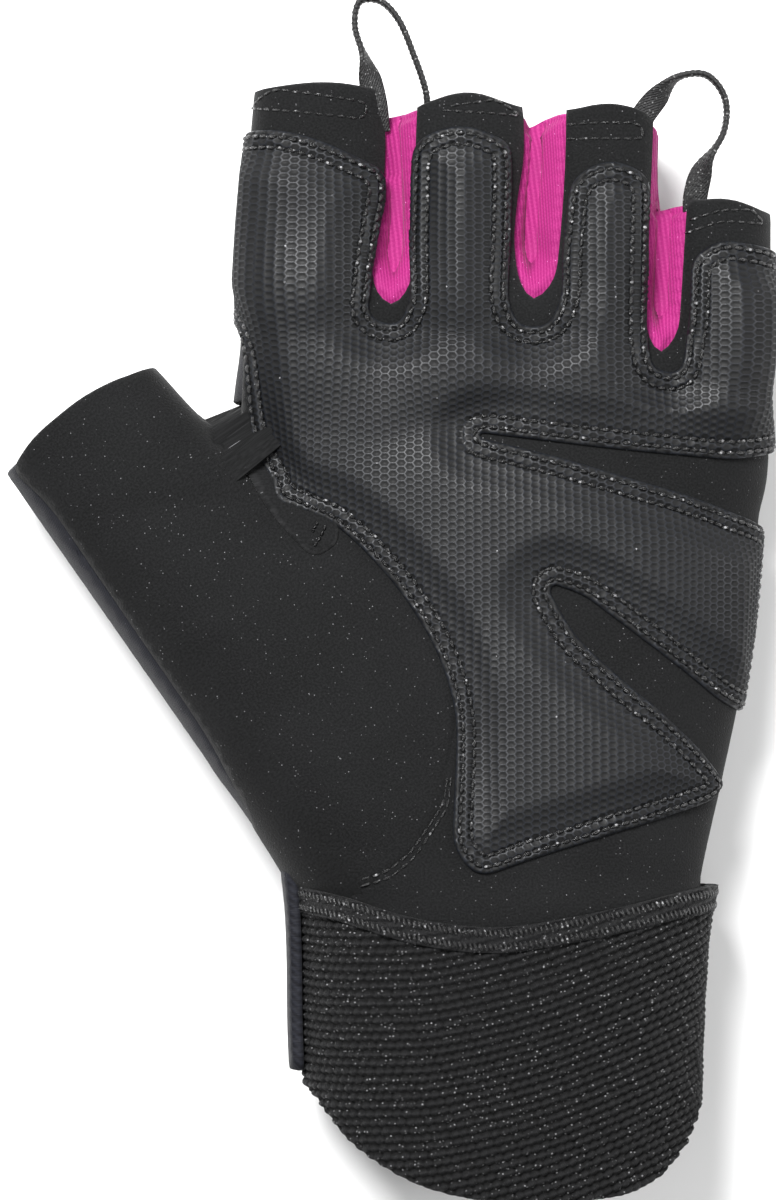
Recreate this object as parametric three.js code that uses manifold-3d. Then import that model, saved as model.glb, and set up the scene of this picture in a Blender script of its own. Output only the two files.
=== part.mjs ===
// Fingerless weightlifting glove for a left hand, lying on its back with the palm up.
// +Y runs from the wrist to the fingers, +X from the thumb to the little finger, +Z out of the palm.
import * as THREE from 'three';
import { mergeVertices } from 'three/addons/utils/BufferGeometryUtils.js';
import Module from 'manifold-3d';

const wasm = await Module();
wasm.setup();

// Driving dimensions, in millimetres.
const gloveLength = 190; // lowest point of the wrist rim to the top of the middle finger
const palmWidth = 92; // across the knuckles
const palmDepth = 29; // back of the hand to palm
const thumbLength = 60; // root of the thumb to its open end
const thumbLean = 35; // degrees between the thumb and the fingers
const fabricWall = 1.2; // synthetic suede and stretch fabric
const overlayWall = 1.8; // padded grip leather
const wrapWall = 1.8; // woven elastic
const closureWall = 2.0; // hook tab at the end of the wrap
const bandWall = 1.0; // stitched edge of the wrap
const tabWall = 1.0; // thumb crotch reinforcement
const loopWidth = 4.4; // pull loop webbing
const loopWall = 1.2;
const seamGap = 0.3; // between two pieces sewn edge to edge
const layerGap = 0.35; // between two pieces sewn one on the other
const fingerGap = 0.5; // between the walls of two fingers
const cuffTuck = 14; // how far the hand panels run down inside the wrap
const closureRise = 21; // height of the tab's end over the resting plane
const bandHeight = 4.2; // from the wrap's top edge down
const bandLip = 0.2; // how far the band stands over that edge
const loopTail = 5; // length of each end sewn inside a finger
const knuckleRound = 9;

// How finely the surfaces are faceted, and how square their sections are.
const ovalPower = 2.4; // 2 is an ellipse, more is squarer
const knuckleSqueeze = 0.8; // how much the section narrows round the knuckles
const sides = { palm: 28, finger: 16, thumb: 20, wrap: 28 };
const spans = { palm: 9, knuckle: 3, finger: 5, thumb: 7, wrap: 6, loop: 26 };

// Lengths past the object that cutters run to.
const hollowRunOn = 6; // inner walls past the open ends
const farDown = -60;
const farUp = 90;
const farOut = 200;

const table = (columns, rows) =>
  rows.map((row) => Object.fromEntries(columns.map((name, i) => [name, row[i]])));

// Section tables: places across are shares of the palm's width, places along are shares of the
// glove's length from the wrist rim, and heights are shares of the palm's depth.
const sectionColumns = ['along', 'left', 'right', 'back', 'front'];
const palmSections = table(sectionColumns, [
  [0.16, -0.352, 0.352, 0.15, 1.22],
  [0.243, -0.354, 0.356, 0.15, 1.22],
  [0.288, -0.368, 0.372, 0.14, 1.2],
  [0.379, -0.426, 0.419, 0.08, 1.15],
  [0.461, -0.458, 0.456, 0.03, 1.1],
  [0.542, -0.48, 0.479, -0.02, 1.06],
  [0.633, -0.499, 0.493, -0.06, 1.03],
  [0.705, -0.507, 0.503, -0.06, 1.0],
  [0.778, -0.501, 0.508, -0.04, 0.97],
  [0.832, -0.497, 0.509, 0.0, 0.93],
]);
const wrapSections = table(sectionColumns, [
  [-0.02, -0.362, 0.356, 0.13, 1.25],
  [0.06, -0.375, 0.368, 0.06, 1.29],
  [0.15, -0.384, 0.374, 0.04, 1.32],
  [0.22, -0.386, 0.382, 0.05, 1.32],
  [0.27, -0.391, 0.393, 0.06, 1.315],
  [0.32, -0.405, 0.41, 0.06, 1.3],
]);
// The line of the finger roots: its height in the middle, its slope and its arch across the palm.
const knuckleLine = { along: 0.842, slope: -0.05, arch: -0.445 };
const knuckleShare = table(['along', 'share'], [
  [0.5, 0],
  [0.842, 1],
]);

// Where the back is pressed flat by what the glove lies on.
const restHeights = table(['along', 'height'], [
  [0.3, 0.19],
  [0.4, 0.13],
  [0.53, 0],
  [0.6, 0],
]);

// The gaps between the fingers: the crease, and how far each side opens away from it.
const gapColumns = ['along', 'crease', 'openLeft', 'openRight'];
const fingerGaps = {
  index_middle: {
    foot: 0.804,
    sections: table(gapColumns, [
      [0.826, -0.214, 0.032, 0.034],
      [0.868, -0.204, 0.034, 0.029],
      [0.905, -0.203, 0.022, 0.031],
      [0.945, -0.208, 0.012, 0.036],
      [1.04, -0.211, 0.012, 0.047],
    ]),
  },
  middle_ring: {
    foot: 0.81,
    sections: table(gapColumns, [
      [0.832, 0.052, 0.026, 0.038],
      [0.868, 0.047, 0.028, 0.051],
      [0.905, 0.051, 0.025, 0.053],
      [0.94, 0.058, 0.019, 0.05],
      [1.04, 0.06, 0.024, 0.052],
    ]),
  },
  ring_little: {
    foot: 0.762,
    sections: table(gapColumns, [
      [0.784, 0.29, 0.024, 0.03],
      [0.82, 0.291, 0.027, 0.034],
      [0.89, 0.298, 0.026, 0.036],
      [0.92, 0.302, 0.026, 0.037],
      [1.04, 0.303, 0.018, 0.037],
    ]),
  },
};

// The fingers: which gaps bound them, their open ends, and how high their backs and fronts lie.
const outerSides = table(['along', 'left', 'right'], [
  [0.65, -0.49, 0.485],
  [0.705, -0.5, 0.496],
  [0.778, -0.503, 0.51],
  [0.86, -0.496, 0.51],
  [0.905, -0.492, 0.506],
  [1.04, -0.469, 0.505],
]);
const depthColumns = ['along', 'back', 'front'];
const fingers = [
  {
    rightGap: 'index_middle',
    root: 0.68,
    top: 1.006,
    depths: table(depthColumns, [
      [0.69, 0.17, 0.82],
      [0.742, 0.06, 0.92],
      [0.814, 0.05, 0.985],
      [0.905, 0.24, 0.96],
      [1.005, 0.33, 0.94],
    ]),
  },
  {
    leftGap: 'index_middle',
    rightGap: 'middle_ring',
    root: 0.68,
    top: 0.997,
    depths: table(depthColumns, [
      [0.69, 0.15, 0.84],
      [0.742, 0.05, 0.94],
      [0.814, 0.03, 1.0],
      [0.905, 0.21, 0.98],
      [1.0, 0.31, 0.955],
    ]),
  },
  {
    leftGap: 'middle_ring',
    rightGap: 'ring_little',
    root: 0.67,
    top: 0.986,
    depths: table(depthColumns, [
      [0.69, 0.15, 0.83],
      [0.742, 0.05, 0.93],
      [0.814, 0.03, 0.98],
      [0.905, 0.22, 0.96],
      [0.99, 0.31, 0.935],
    ]),
  },
  {
    leftGap: 'ring_little',
    root: 0.64,
    top: 0.903,
    depths: table(depthColumns, [
      [0.65, 0.17, 0.8],
      [0.705, 0.07, 0.89],
      [0.769, 0.06, 0.93],
      [0.814, 0.1, 0.925],
      [0.902, 0.3, 0.885],
    ]),
  },
];
const fingerDrop = 0.014; // how far the corners of an open end lie below its middle

// The thumb: its root, and its sections along its own axis as shares of the thumb's length.
const thumbRoot = { across: -0.422, along: 0.447 };
const thumbSections = table(sectionColumns, [
  [-0.75, -0.176, 0.2, 0.2, 1.1],
  [-0.3, -0.177, 0.25, 0.14, 1.19],
  [0.0, -0.178, 0.27, 0.1, 1.19],
  [0.3, -0.178, 0.24, 0.11, 1.14],
  [0.67, -0.178, 0.198, 0.17, 1.06],
  [1.0, -0.178, 0.17, 0.21, 0.99],
  [1.1, -0.178, 0.167, 0.22, 0.98],
]);
const thumbHem = 0.293; // where the thumb ends over the wrap
const thumbArch = 0.03; // how far its open end rises in the middle

// Reads one column of a table at a place along it, on a smooth curve through its rows.
function read(rows, column, along) {
  const last = rows.length - 1;
  if (along <= rows[0].along) return rows[0][column];
  if (along >= rows[last].along) return rows[last][column];
  const i = rows.findIndex((row) => row.along > along) - 1;
  const slope = (j) => {
    const before = rows[Math.max(j - 1, 0)];
    const after = rows[Math.min(j + 1, last)];
    return (after[column] - before[column]) / (after.along - before.along);
  };
  const span = rows[i + 1].along - rows[i].along;
  const t = (along - rows[i].along) / span;
  const rise = t * t * (3 - 2 * t);
  const lead = slope(i) * t * (1 - t) ** 2;
  const trail = slope(i + 1) * t * t * (1 - t);
  return rows[i][column] * (1 - rise) + rows[i + 1][column] * rise + span * (lead - trail);
}

function toManifold(geometry) {
  const bare = geometry.clone();
  bare.deleteAttribute('normal');
  bare.deleteAttribute('uv');
  const merged = mergeVertices(bare, 1e-4);
  return new wasm.Manifold(
    new wasm.Mesh({
      numProp: 3,
      vertProperties: new Float32Array(merged.attributes.position.array),
      triVerts: new Uint32Array(merged.index.array),
    }),
  );
}

function toGeometry(solid) {
  const mesh = solid.getMesh();
  const geometry = new THREE.BufferGeometry();
  geometry.setAttribute('position', new THREE.BufferAttribute(new Float32Array(mesh.vertProperties), 3));
  geometry.setIndex(new THREE.BufferAttribute(new Uint32Array(mesh.triVerts), 1));
  return geometry;
}

// Skins a row of rings and closes both of its ends.
function loft(rings) {
  const count = rings[0].length;
  const middles = [rings[0], rings[rings.length - 1]].map((ring) =>
    ring.reduce((sum, p) => sum.add(p), new THREE.Vector3()).divideScalar(count),
  );
  const points = [...rings.flat(), ...middles];
  const faces = [];
  rings.forEach((ring, r) => {
    for (let i = 0; i < count; i += 1) {
      const a = r * count + i;
      const b = r * count + ((i + 1) % count);
      if (r < rings.length - 1) faces.push(a, b, b + count, a, b + count, a + count);
      if (r === 0) faces.push(b, a, points.length - 2);
      if (r === rings.length - 1) faces.push(a, b, points.length - 1);
    }
  });
  const geometry = new THREE.BufferGeometry().setFromPoints(points);
  geometry.setIndex(faces);
  return toManifold(geometry);
}

// One oval ring, as places across and heights, counter-clockwise seen from the wrist.
function oval(left, right, back, front, count) {
  const bend = (value) => Math.sign(value) * Math.abs(value) ** (2 / ovalPower);
  return Array.from({ length: count }, (_, i) => {
    const turn = ((i + 0.5) / count) * Math.PI * 2;
    return {
      x: (left + right) / 2 + (bend(Math.cos(turn)) * (right - left)) / 2,
      z: (back + front) / 2 - (bend(Math.sin(turn)) * (front - back)) / 2,
    };
  });
}

const steps = (from, to, count) =>
  Array.from({ length: count + 1 }, (_, i) => from + ((to - from) * i) / count);

// An oval ring of a section table, grown outwards.
function sectionRing(rows, along, grow, count) {
  const part = (column) => read(rows, column, along);
  return oval(
    part('left') * palmWidth - grow,
    part('right') * palmWidth + grow,
    part('back') * palmDepth - grow,
    part('front') * palmDepth + grow,
    count,
  );
}

// Inside the wrap the hand panels are held in by its inner face.
const wrapRest = closureWall + layerGap; // height of the wrap, which lies on its closure flap
const cuffRest = wrapRest + wrapWall + layerGap;
const cuffSections = palmSections.map((row) => {
  const inset = wrapWall + layerGap;
  const wrap = (column) => read(wrapSections, column, row.along);
  return {
    along: row.along,
    left: Math.max(row.left, wrap('left') + inset / palmWidth),
    right: Math.min(row.right, wrap('right') - inset / palmWidth),
    back: row.back,
    front: Math.min(row.front, wrap('front') - inset / palmDepth),
  };
});

// The palm and the wrist, grown outwards or shrunk inwards, and run on below the cuff.
function palmTube(grow, runOn) {
  const cuff = thumbHem - cuffTuck / gloveLength;
  const end = knuckleLine.along;
  const roundStart = end - knuckleRound / gloveLength;
  const start = cuff - runOn / gloveLength;
  const straight = steps(cuff, roundStart, spans.palm);
  const places = [start, ...straight, ...steps(roundStart, end, spans.knuckle).slice(1)];
  const rings = places.map((along) => {
    const inRound = Math.max(0, (along - roundStart) * gloveLength);
    const squeeze = knuckleRound - Math.sqrt(Math.max(knuckleRound ** 2 - inRound ** 2, 0));
    const shift = (grow * inRound) / knuckleRound;
    const tucked = along < thumbHem;
    const rest = Math.max(read(restHeights, 'height', along) * palmDepth, tucked ? cuffRest : 0);
    const rows = tucked ? cuffSections : palmSections;
    return sectionRing(rows, along, grow - squeeze * knuckleSqueeze, sides.palm).map(({ x, z }) => {
      const across = x / palmWidth;
      const bend = (knuckleLine.slope + knuckleLine.arch * across) * across;
      const lifted = along + bend * read(knuckleShare, 'share', along);
      return new THREE.Vector3(x, lifted * gloveLength + shift, Math.max(z, rest - grow));
    });
  });
  return loft(rings);
}

// An oval ring round a finger, with its corners dropping away towards the open end.
function fingerRing(finger, along, grow, count) {
  const { leftGap, rightGap, root, top, depths } = finger;
  const crease = (gap) => read(fingerGaps[gap].sections, 'crease', along) * palmWidth;
  const outer = (side) => read(outerSides, side, along) * palmWidth;
  const left = leftGap ? crease(leftGap) + fingerGap / 2 : outer('left');
  const right = rightGap ? crease(rightGap) - fingerGap / 2 : outer('right');
  const back = read(depths, 'back', along) * palmDepth;
  const front = read(depths, 'front', along) * palmDepth;
  const rise = (along - root) / (top - root);
  return oval(left - grow, right + grow, back - grow, front + grow, count).map(({ x, z }) => {
    const offCentre = (x - (left + right) / 2) / ((right - left) / 2);
    const drop = fingerDrop * gloveLength * rise * offCentre ** 2;
    return new THREE.Vector3(x, along * gloveLength - drop, z);
  });
}

function fingerTube(finger, grow, runOn) {
  const { root, top } = finger;
  const places = [...steps(root, top, spans.finger), ...(runOn > 0 ? [top + runOn / gloveLength] : [])];
  return loft(places.map((along) => fingerRing(finger, along, grow, sides.finger)));
}

const lean = THREE.MathUtils.degToRad(thumbLean);
const thumbHalfWidth = -thumbSections[0].left * palmWidth;
const thumbRootPoint = new THREE.Vector2(thumbRoot.across * palmWidth, thumbRoot.along * gloveLength);
const fromThumb = (across, along, height) =>
  new THREE.Vector3(
    thumbRootPoint.x + across * Math.cos(lean) - along * Math.sin(lean),
    thumbRootPoint.y + across * Math.sin(lean) + along * Math.cos(lean),
    height,
  );

function thumbTube(grow, runOn) {
  const start = thumbSections[0].along;
  const places = [...steps(start, 1, spans.thumb), ...(runOn > 0 ? [1 + runOn / thumbLength] : [])];
  const rings = places.map((along) =>
    sectionRing(thumbSections, along, grow, sides.thumb).map(({ x, z }) => {
      const offCentre = x / thumbHalfWidth;
      const arch = thumbArch * thumbLength * Math.max(along, 0) * (1 - offCentre ** 2);
      return fromThumb(x, along * thumbLength + arch, z);
    }),
  );
  const hem = thumbHem * gloveLength - grow;
  return loft(rings).subtract(block([-farOut, -farOut, -farOut], [farOut, hem, farOut]));
}

function block(low, high) {
  const [a, b] = [new THREE.Vector3(...low), new THREE.Vector3(...high)];
  const size = b.clone().sub(a);
  const middle = a.add(b).divideScalar(2);
  return toManifold(new THREE.BoxGeometry(size.x, size.y, size.z).translate(middle.x, middle.y, middle.z));
}

// The whole gloved hand as one solid, grown outwards or shrunk inwards.
function hand(grow, runOn = 0) {
  const tubes = fingers.map((finger) => fingerTube(finger, grow, runOn));
  return tubes.reduce((sum, tube) => sum.add(tube), palmTube(grow, runOn)).add(thumbTube(grow, runOn));
}

// Pattern outlines, seen from above the palm: corners in order round each piece, with the reach of
// their rounding as a share of the palm's width. Places past the side of the hand let the cloth
// wrap round it.
const cornerColumns = ['across', 'along', 'round'];
const fingertipEdges = table(cornerColumns, [
  [-0.56, 0.966, 0],
  [-0.421, 0.966, 0.098],
  [-0.346, 0.956, 0.098],
  [-0.23, 0.93, 0.027],
  [-0.224, 0.91, 0.022],
  [-0.247, 0.852, 0.065],
  [-0.259, 0.796, 0.043],
  [-0.198, 0.788, 0.043],
  [-0.176, 0.812, 0.022],
  [-0.176, 0.861, 0.022],
  [-0.172, 0.956, 0.038],
  [-0.082, 0.972, 0.087],
  [0.007, 0.954, 0.033],
  [0.01, 0.929, 0.033],
  [0.002, 0.811, 0.022],
  [0.024, 0.788, 0.043],
  [0.082, 0.788, 0.043],
  [0.106, 0.816, 0.022],
  [0.108, 0.861, 0.022],
  [0.122, 0.922, 0.054],
  [0.193, 0.94, 0.087],
  [0.268, 0.925, 0.033],
  [0.264, 0.861, 0.033],
  [0.26, 0.787, 0.033],
  [0.27, 0.75, 0.043],
  [0.328, 0.745, 0.043],
  [0.345, 0.796, 0.033],
  [0.348, 0.85, 0.043],
  [0.4, 0.867, 0.087],
  [0.56, 0.858, 0],
]);
const upperSlit = table(cornerColumns, [
  [0.56, 0.676, 0],
  [0.43, 0.668, 0.109],
  [0.228, 0.676, 0.109],
  [-0.08, 0.692, 0.007],
  [-0.08, 0.688, 0.007],
  [0.09, 0.671, 0.109],
  [0.228, 0.651, 0.109],
  [0.353, 0.634, 0.109],
  [0.56, 0.595, 0],
]);
const lowerSlit = table(cornerColumns, [
  [0.56, 0.44, 0],
  [0.437, 0.44, 0.087],
  [0.327, 0.479, 0.109],
  [0.142, 0.547, 0.087],
  [0.068, 0.554, 0.007],
  [0.066, 0.549, 0.007],
  [0.127, 0.508, 0.087],
  [0.207, 0.473, 0.109],
  [0.353, 0.411, 0.087],
  [0.404, 0.378, 0.027],
]);
const heelEdge = table(cornerColumns, [
  [0.385, 0.361, 0.033],
  [0.166, 0.327, 0.109],
  [0.056, 0.311, 0.065],
  [-0.054, 0.292, 0.065],
  [-0.101, 0.32, 0.054],
]);
const thumbArc = table(cornerColumns, [
  [-0.096, 0.45, 0.109],
  [-0.138, 0.511, 0.109],
  [-0.219, 0.564, 0.109],
  [-0.307, 0.606, 0.109],
]);
const indexSide = table(cornerColumns, [
  [-0.444, 0.646, 0.043],
  [-0.478, 0.695, 0.087],
  [-0.496, 0.76, 0.087],
  [-0.505, 0.822, 0.065],
  [-0.56, 0.834, 0],
]);
const crotchTab = table(cornerColumns, [
  [-0.5, 0.68, 0.011],
  [-0.478, 0.646, 0.033],
  [-0.441, 0.614, 0.043],
  [-0.361, 0.58, 0.033],
  [-0.316, 0.597, 0.022],
  [-0.34, 0.616, 0.022],
  [-0.44, 0.654, 0.043],
  [-0.486, 0.7, 0.022],
]);
const thumbSide = table(cornerColumns, [
  [-1.4, 0.66, 0],
  [-0.6, 0.3, 0],
  [-0.4, 0.15, 0],
]);
const thumbHeel = table(cornerColumns, [
  [-0.25, 0.15, 0],
  [-0.252, 0.286, 0.054],
  [-0.174, 0.309, 0.087],
  [-0.122, 0.346, 0.065],
]);
const thumbCrotch = table(cornerColumns, [
  [-0.437, 0.641, 0.022],
  [-0.513, 0.683, 0],
  [-0.83, 1, 0],
  [-1.4, 1, 0],
]);
const thumbBack = table(cornerColumns, [
  [-1.4, 0.2, 0],
  [-0.3, 0.2, 0],
  [-0.31, 0.45, 0.109],
  [-0.4, 0.58, 0.065],
  [-0.513, 0.683, 0],
  [-0.83, 1, 0],
  [-1.4, 1, 0],
]);
const palmOutline = table(cornerColumns, [
  [0.6, 0.2, 0],
  [0.6, 1.06, 0],
  [-0.6, 1.06, 0],
  [-0.6, 0.834, 0],
  [-0.51, 0.826, 0.043],
  [-0.502, 0.76, 0.065],
  [-0.483, 0.695, 0.065],
  [-0.45, 0.642, 0.022],
  [-0.33, 0.59, 0.022],
  [-0.33, 0.2, 0],
]);
const wrapTop = table(cornerColumns, [
  [-0.5, 0.286, 0],
  [-0.366, 0.284, 0.087],
  [-0.166, 0.254, 0.13],
  [-0.011, 0.246, 0.13],
  [0.2, 0.264, 0.13],
  [0.372, 0.284, 0.087],
  [0.5, 0.286, 0],
]);
const wrapRim = table(cornerColumns, [
  [0.5, 0.12, 0],
  [0.384, 0.1, 0.065],
  [0.35, 0.049, 0.087],
  [0.27, 0.012, 0.109],
  [0.06, -0.004, 0.13],
  [-0.15, 0.012, 0.109],
  [-0.3, 0.052, 0.087],
  [-0.39, 0.112, 0.065],
  [-0.5, 0.13, 0],
]);
const closureOutline = table(cornerColumns, [
  [-0.6, 0.286, 0],
  [0.02, 0.286, 0.087],
  [0.02, 0.106, 0.087],
  [-0.6, 0.106, 0],
]);

// An outline through corners, each rounded by its own reach, widened outwards. A corner's rounding
// takes no more than this share of the nearer side, and a shorter one than the least stays sharp.
const mostOfSide = 0.45;
const leastRound = 0.2;
const roundSteps = 3;
function outlineOf(corners, widen = 0) {
  const places = corners.map(
    ({ across, along }) => new THREE.Vector2(across * palmWidth, along * gloveLength),
  );
  const outline = places.flatMap((place, i) => {
    const before = places[(i + places.length - 1) % places.length];
    const after = places[(i + 1) % places.length];
    const nearest = Math.min(place.distanceTo(before), place.distanceTo(after));
    const reach = Math.min(corners[i].round * palmWidth, nearest * mostOfSide);
    if (reach < leastRound) return [place];
    const start = before.clone().sub(place).setLength(reach).add(place);
    const end = after.clone().sub(place).setLength(reach).add(place);
    return new THREE.QuadraticBezierCurve(start, place, end).getPoints(roundSteps);
  });
  if (widen === 0) return outline;
  const turnsLeft = THREE.ShapeUtils.area(outline) > 0 ? 1 : -1;
  return outline.map((place, i) => {
    const before = place.clone().sub(outline[(i + outline.length - 1) % outline.length]).normalize();
    const after = outline[(i + 1) % outline.length].clone().sub(place).normalize();
    const tangent = before.clone().add(after).normalize();
    const spread = widen / Math.max(tangent.dot(before), 0.5);
    return new THREE.Vector2(tangent.y, -tangent.x).multiplyScalar(turnsLeft * spread).add(place);
  });
}

// An upright prism over an outline, between two heights.
function prism(outline, low, high) {
  const options = { depth: high - low, bevelEnabled: false };
  return toManifold(new THREE.ExtrudeGeometry(new THREE.Shape(outline), options).translate(0, 0, low));
}

const thumbOutline = [...thumbSide, ...thumbHeel, ...thumbArc, ...thumbCrotch];
const sideSeam = 0.57 * palmDepth; // height of the seam round the edge of the hand
const front = (corners, widen = 0) => prism(outlineOf(corners, widen), sideSeam - widen, farUp);

// The seam round the thumb lies high on its outer side and low on its inner side.
const thumbSeam = { outer: 0.86 * palmDepth, inner: 0.4 * palmDepth };
function thumbFront(widen = 0) {
  const { outer, inner } = thumbSeam;
  const geometry = new THREE.ExtrudeGeometry(new THREE.Shape(outlineOf(thumbOutline, widen)), {
    depth: farUp,
    bevelEnabled: false,
  });
  const points = geometry.attributes.position;
  for (let i = 0; i < points.count; i += 1) {
    const toRoot = new THREE.Vector2(points.getX(i), points.getY(i)).sub(thumbRootPoint);
    const across = toRoot.x * Math.cos(lean) + toRoot.y * Math.sin(lean);
    const seam = THREE.MathUtils.mapLinear(across, -thumbHalfWidth, thumbHalfWidth, outer, inner);
    if (points.getZ(i) === 0) points.setZ(i, seam - widen);
  }
  return toManifold(geometry);
}

const slotRound = 0.03;
// The slot between two fingers, from its foot past their open ends.
function slotCorners({ foot, sections }) {
  const side = (sign, column) =>
    sections.map((row) => ({
      across: row.crease + sign * row[column],
      along: row.along,
      round: slotRound,
    }));
  const floor = { across: sections[0].crease, along: foot, round: slotRound };
  return [floor, ...side(1, 'openRight'), ...side(-1, 'openLeft').reverse()];
}
const slot = (gap, widen) => prism(outlineOf(slotCorners(gap), widen), farDown, farUp);

const shell = hand(0).subtract(hand(-fabricWall, hollowRunOn));
const overlayOutline = [
  ...fingertipEdges,
  ...upperSlit,
  ...lowerSlit,
  ...heelEdge,
  ...thumbArc,
  ...indexSide,
];

// A layer of cloth sewn on the outside of the hand, inside an outline on its palm side.
function layer(corners, wall) {
  const height = layerGap + wall;
  return hand(height, height).subtract(hand(layerGap, hollowRunOn)).intersect(front(corners));
}

const slots = Object.values(fingerGaps).map((gap) => slot(gap, seamGap));
const withoutSlots = slots.reduce((rest, cut) => rest.subtract(cut), shell);
const thumbPanel = shell.intersect(thumbFront());
const palmPanel = withoutSlots.intersect(front(palmOutline)).subtract(thumbFront(seamGap));
const thumbBackPanel = shell
  .intersect(prism(outlineOf(thumbBack), farDown, farUp))
  .subtract(thumbFront(seamGap))
  .subtract(front(palmOutline, seamGap));
const backPanel = withoutSlots
  .subtract(front(palmOutline, seamGap))
  .subtract(thumbFront(seamGap))
  .subtract(prism(outlineOf(thumbBack, seamGap), farDown, farUp));

const crotchPatch = layer(crotchTab, tabWall).subtract(front(overlayOutline, seamGap));

// The wrap round the wrist, grown outwards or shrunk inwards.
function wrapTube(grow) {
  const [first, last] = [wrapSections[0].along, wrapSections[wrapSections.length - 1].along];
  const rings = steps(first, last, spans.wrap).map((along) =>
    sectionRing(wrapSections, along, grow, sides.wrap).map(
      ({ x, z }) => new THREE.Vector3(x, along * gloveLength, Math.max(z, wrapRest - grow)),
    ),
  );
  return loft(rings);
}
const band = (inner, outer) => wrapTube(outer).subtract(wrapTube(inner));
const moved = (corners, by) =>
  corners.map((corner) => ({ ...corner, along: corner.along + by / gloveLength }));
const wrapOutline = [...wrapTop, ...wrapRim];
const bandOutline = [...moved(wrapTop, bandLip), ...moved(wrapTop, -bandHeight).reverse()];
const wrap = band(-wrapWall, 0).intersect(prism(outlineOf(wrapOutline), farDown, farUp));
const seamBand = band(layerGap, layerGap + bandWall).intersect(
  prism(outlineOf(bandOutline), closureRise + seamGap, farUp),
);
const closure = band(layerGap, layerGap + closureWall).intersect(
  prism(outlineOf(closureOutline), farDown, closureRise),
);

// The webbing turns on edge between these shares of its length from either end.
const twist = { from: 0.1, to: 0.32 };

// A pull loop: webbing sewn inside the open ends of two fingers, standing up between them.
function pullLoop({ from, to, path }) {
  const fine = 64;
  const tail = ({ finger, turn }, deep) => {
    const along = fingers[finger].top - deep / gloveLength;
    const ring = fingerRing(fingers[finger], along, -fabricWall - layerGap - loopWall, fine);
    const place = Math.round(turn * fine);
    return { at: ring[place], wide: ring[place + 1].clone().sub(ring[place]).normalize() };
  };
  const sizes = new THREE.Vector3(palmWidth, gloveLength, palmDepth);
  const stands = path.map(({ across, along, height }) =>
    new THREE.Vector3(across, along, height).multiply(sizes),
  );
  const start = [tail(from, loopTail), tail(from, loopTail * 0.3)];
  const end = [tail(to, loopTail * 0.3), tail(to, loopTail)];
  const ends = ([a, b]) => [a.at, b.at];
  const curve = new THREE.CatmullRomCurve3([...ends(start), ...stands, ...ends(end)], false, 'centripetal');
  const rings = steps(0, 1, spans.loop).map((t) => {
    const at = curve.getPointAt(t);
    const ahead = curve.getTangentAt(t);
    const flat = t < 0.5 ? start[0].wide : end[0].wide.clone().negate();
    const upright = THREE.MathUtils.smoothstep(Math.min(t, 1 - t), twist.from, twist.to);
    const wide = flat.clone().multiplyScalar(1 - upright).add(new THREE.Vector3(0, 0, -upright));
    wide.addScaledVector(ahead, -wide.dot(ahead)).setLength(loopWidth / 2);
    const thick = ahead.clone().cross(wide).setLength(loopWall / 2);
    return [
      at.clone().add(wide).add(thick),
      at.clone().sub(wide).add(thick),
      at.clone().sub(wide).sub(thick),
      at.clone().add(wide).sub(thick),
    ];
  });
  return loft(rings);
}
const pathColumns = ['across', 'along', 'height'];
const loops = {
  pull_loop_index_middle: {
    from: { finger: 0, turn: 0.86 },
    to: { finger: 1, turn: 0.66 },
    path: table(pathColumns, [
      [-0.27, 1.04, 0.82],
      [-0.275, 1.068, 0.84],
      [-0.225, 1.078, 0.85],
      [-0.18, 1.062, 0.85],
      [-0.155, 1.025, 0.84],
    ]),
  },
  pull_loop_ring_little: {
    from: { finger: 2, turn: 0.86 },
    to: { finger: 3, turn: 0.66 },
    path: table(pathColumns, [
      [0.3, 1.003, 0.8],
      [0.35, 1.02, 0.82],
      [0.4, 1.005, 0.82],
      [0.415, 0.97, 0.8],
      [0.385, 0.94, 0.78],
    ]),
  },
};

// Cutting can leave crumbs of cloth at the ends of a seam; a piece is its one large body.
const largest = (solid) => solid.decompose().reduce((a, b) => (b.volume() > a.volume() ? b : a));

const group = new THREE.Group();
const materials = {
  suede: { color: 0x151617, roughness: 0.9, metalness: 0 },
  leather: { color: 0x3a3d42, roughness: 0.72, metalness: 0 },
  stretch: { color: 0x191a20, roughness: 0.85, metalness: 0 },
  knit: { color: 0xc42d8c, roughness: 0.7, metalness: 0 },
  elastic: { color: 0x1c1c1f, roughness: 0.8, metalness: 0 },
  webbing: { color: 0x18181a, roughness: 0.75, metalness: 0 },
};
function addPiece(name, solid, look) {
  const material = new THREE.MeshStandardMaterial(materials[look]);
  material.name = look;
  const mesh = new THREE.Mesh(toGeometry(largest(solid)), material);
  mesh.name = name;
  group.add(mesh);
}
addPiece('palm_panel', palmPanel, 'suede');
addPiece('back_panel', backPanel, 'stretch');
addPiece('thumb_panel', thumbPanel, 'suede');
addPiece('thumb_back_panel', thumbBackPanel, 'stretch');
Object.entries(fingerGaps).forEach(([name, gap]) => {
  addPiece(`gusset_${name}`, shell.intersect(slot(gap, 0)), 'knit');
});
addPiece('palm_overlay', layer(overlayOutline, overlayWall), 'leather');
addPiece('thumb_crotch_tab', crotchPatch, 'suede');
addPiece('wrist_wrap', wrap, 'elastic');
addPiece('wrap_seam_band', seamBand, 'elastic');
addPiece('closure_flap', closure, 'stretch');
Object.entries(loops).forEach(([name, loop]) => addPiece(name, pullLoop(loop), 'webbing'));

// The origin is the middle of the box of the whole glove, at its lowest point.
const box = new THREE.Box3().setFromObject(group);
const middle = box.getCenter(new THREE.Vector3());
group.children.forEach(({ geometry }) => geometry.translate(-middle.x, -middle.y, -box.min.z));
export default group;
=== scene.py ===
import bpy
import numpy as np
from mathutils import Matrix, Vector
from mathutils.geometry import delaunay_2d_cdt


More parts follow.
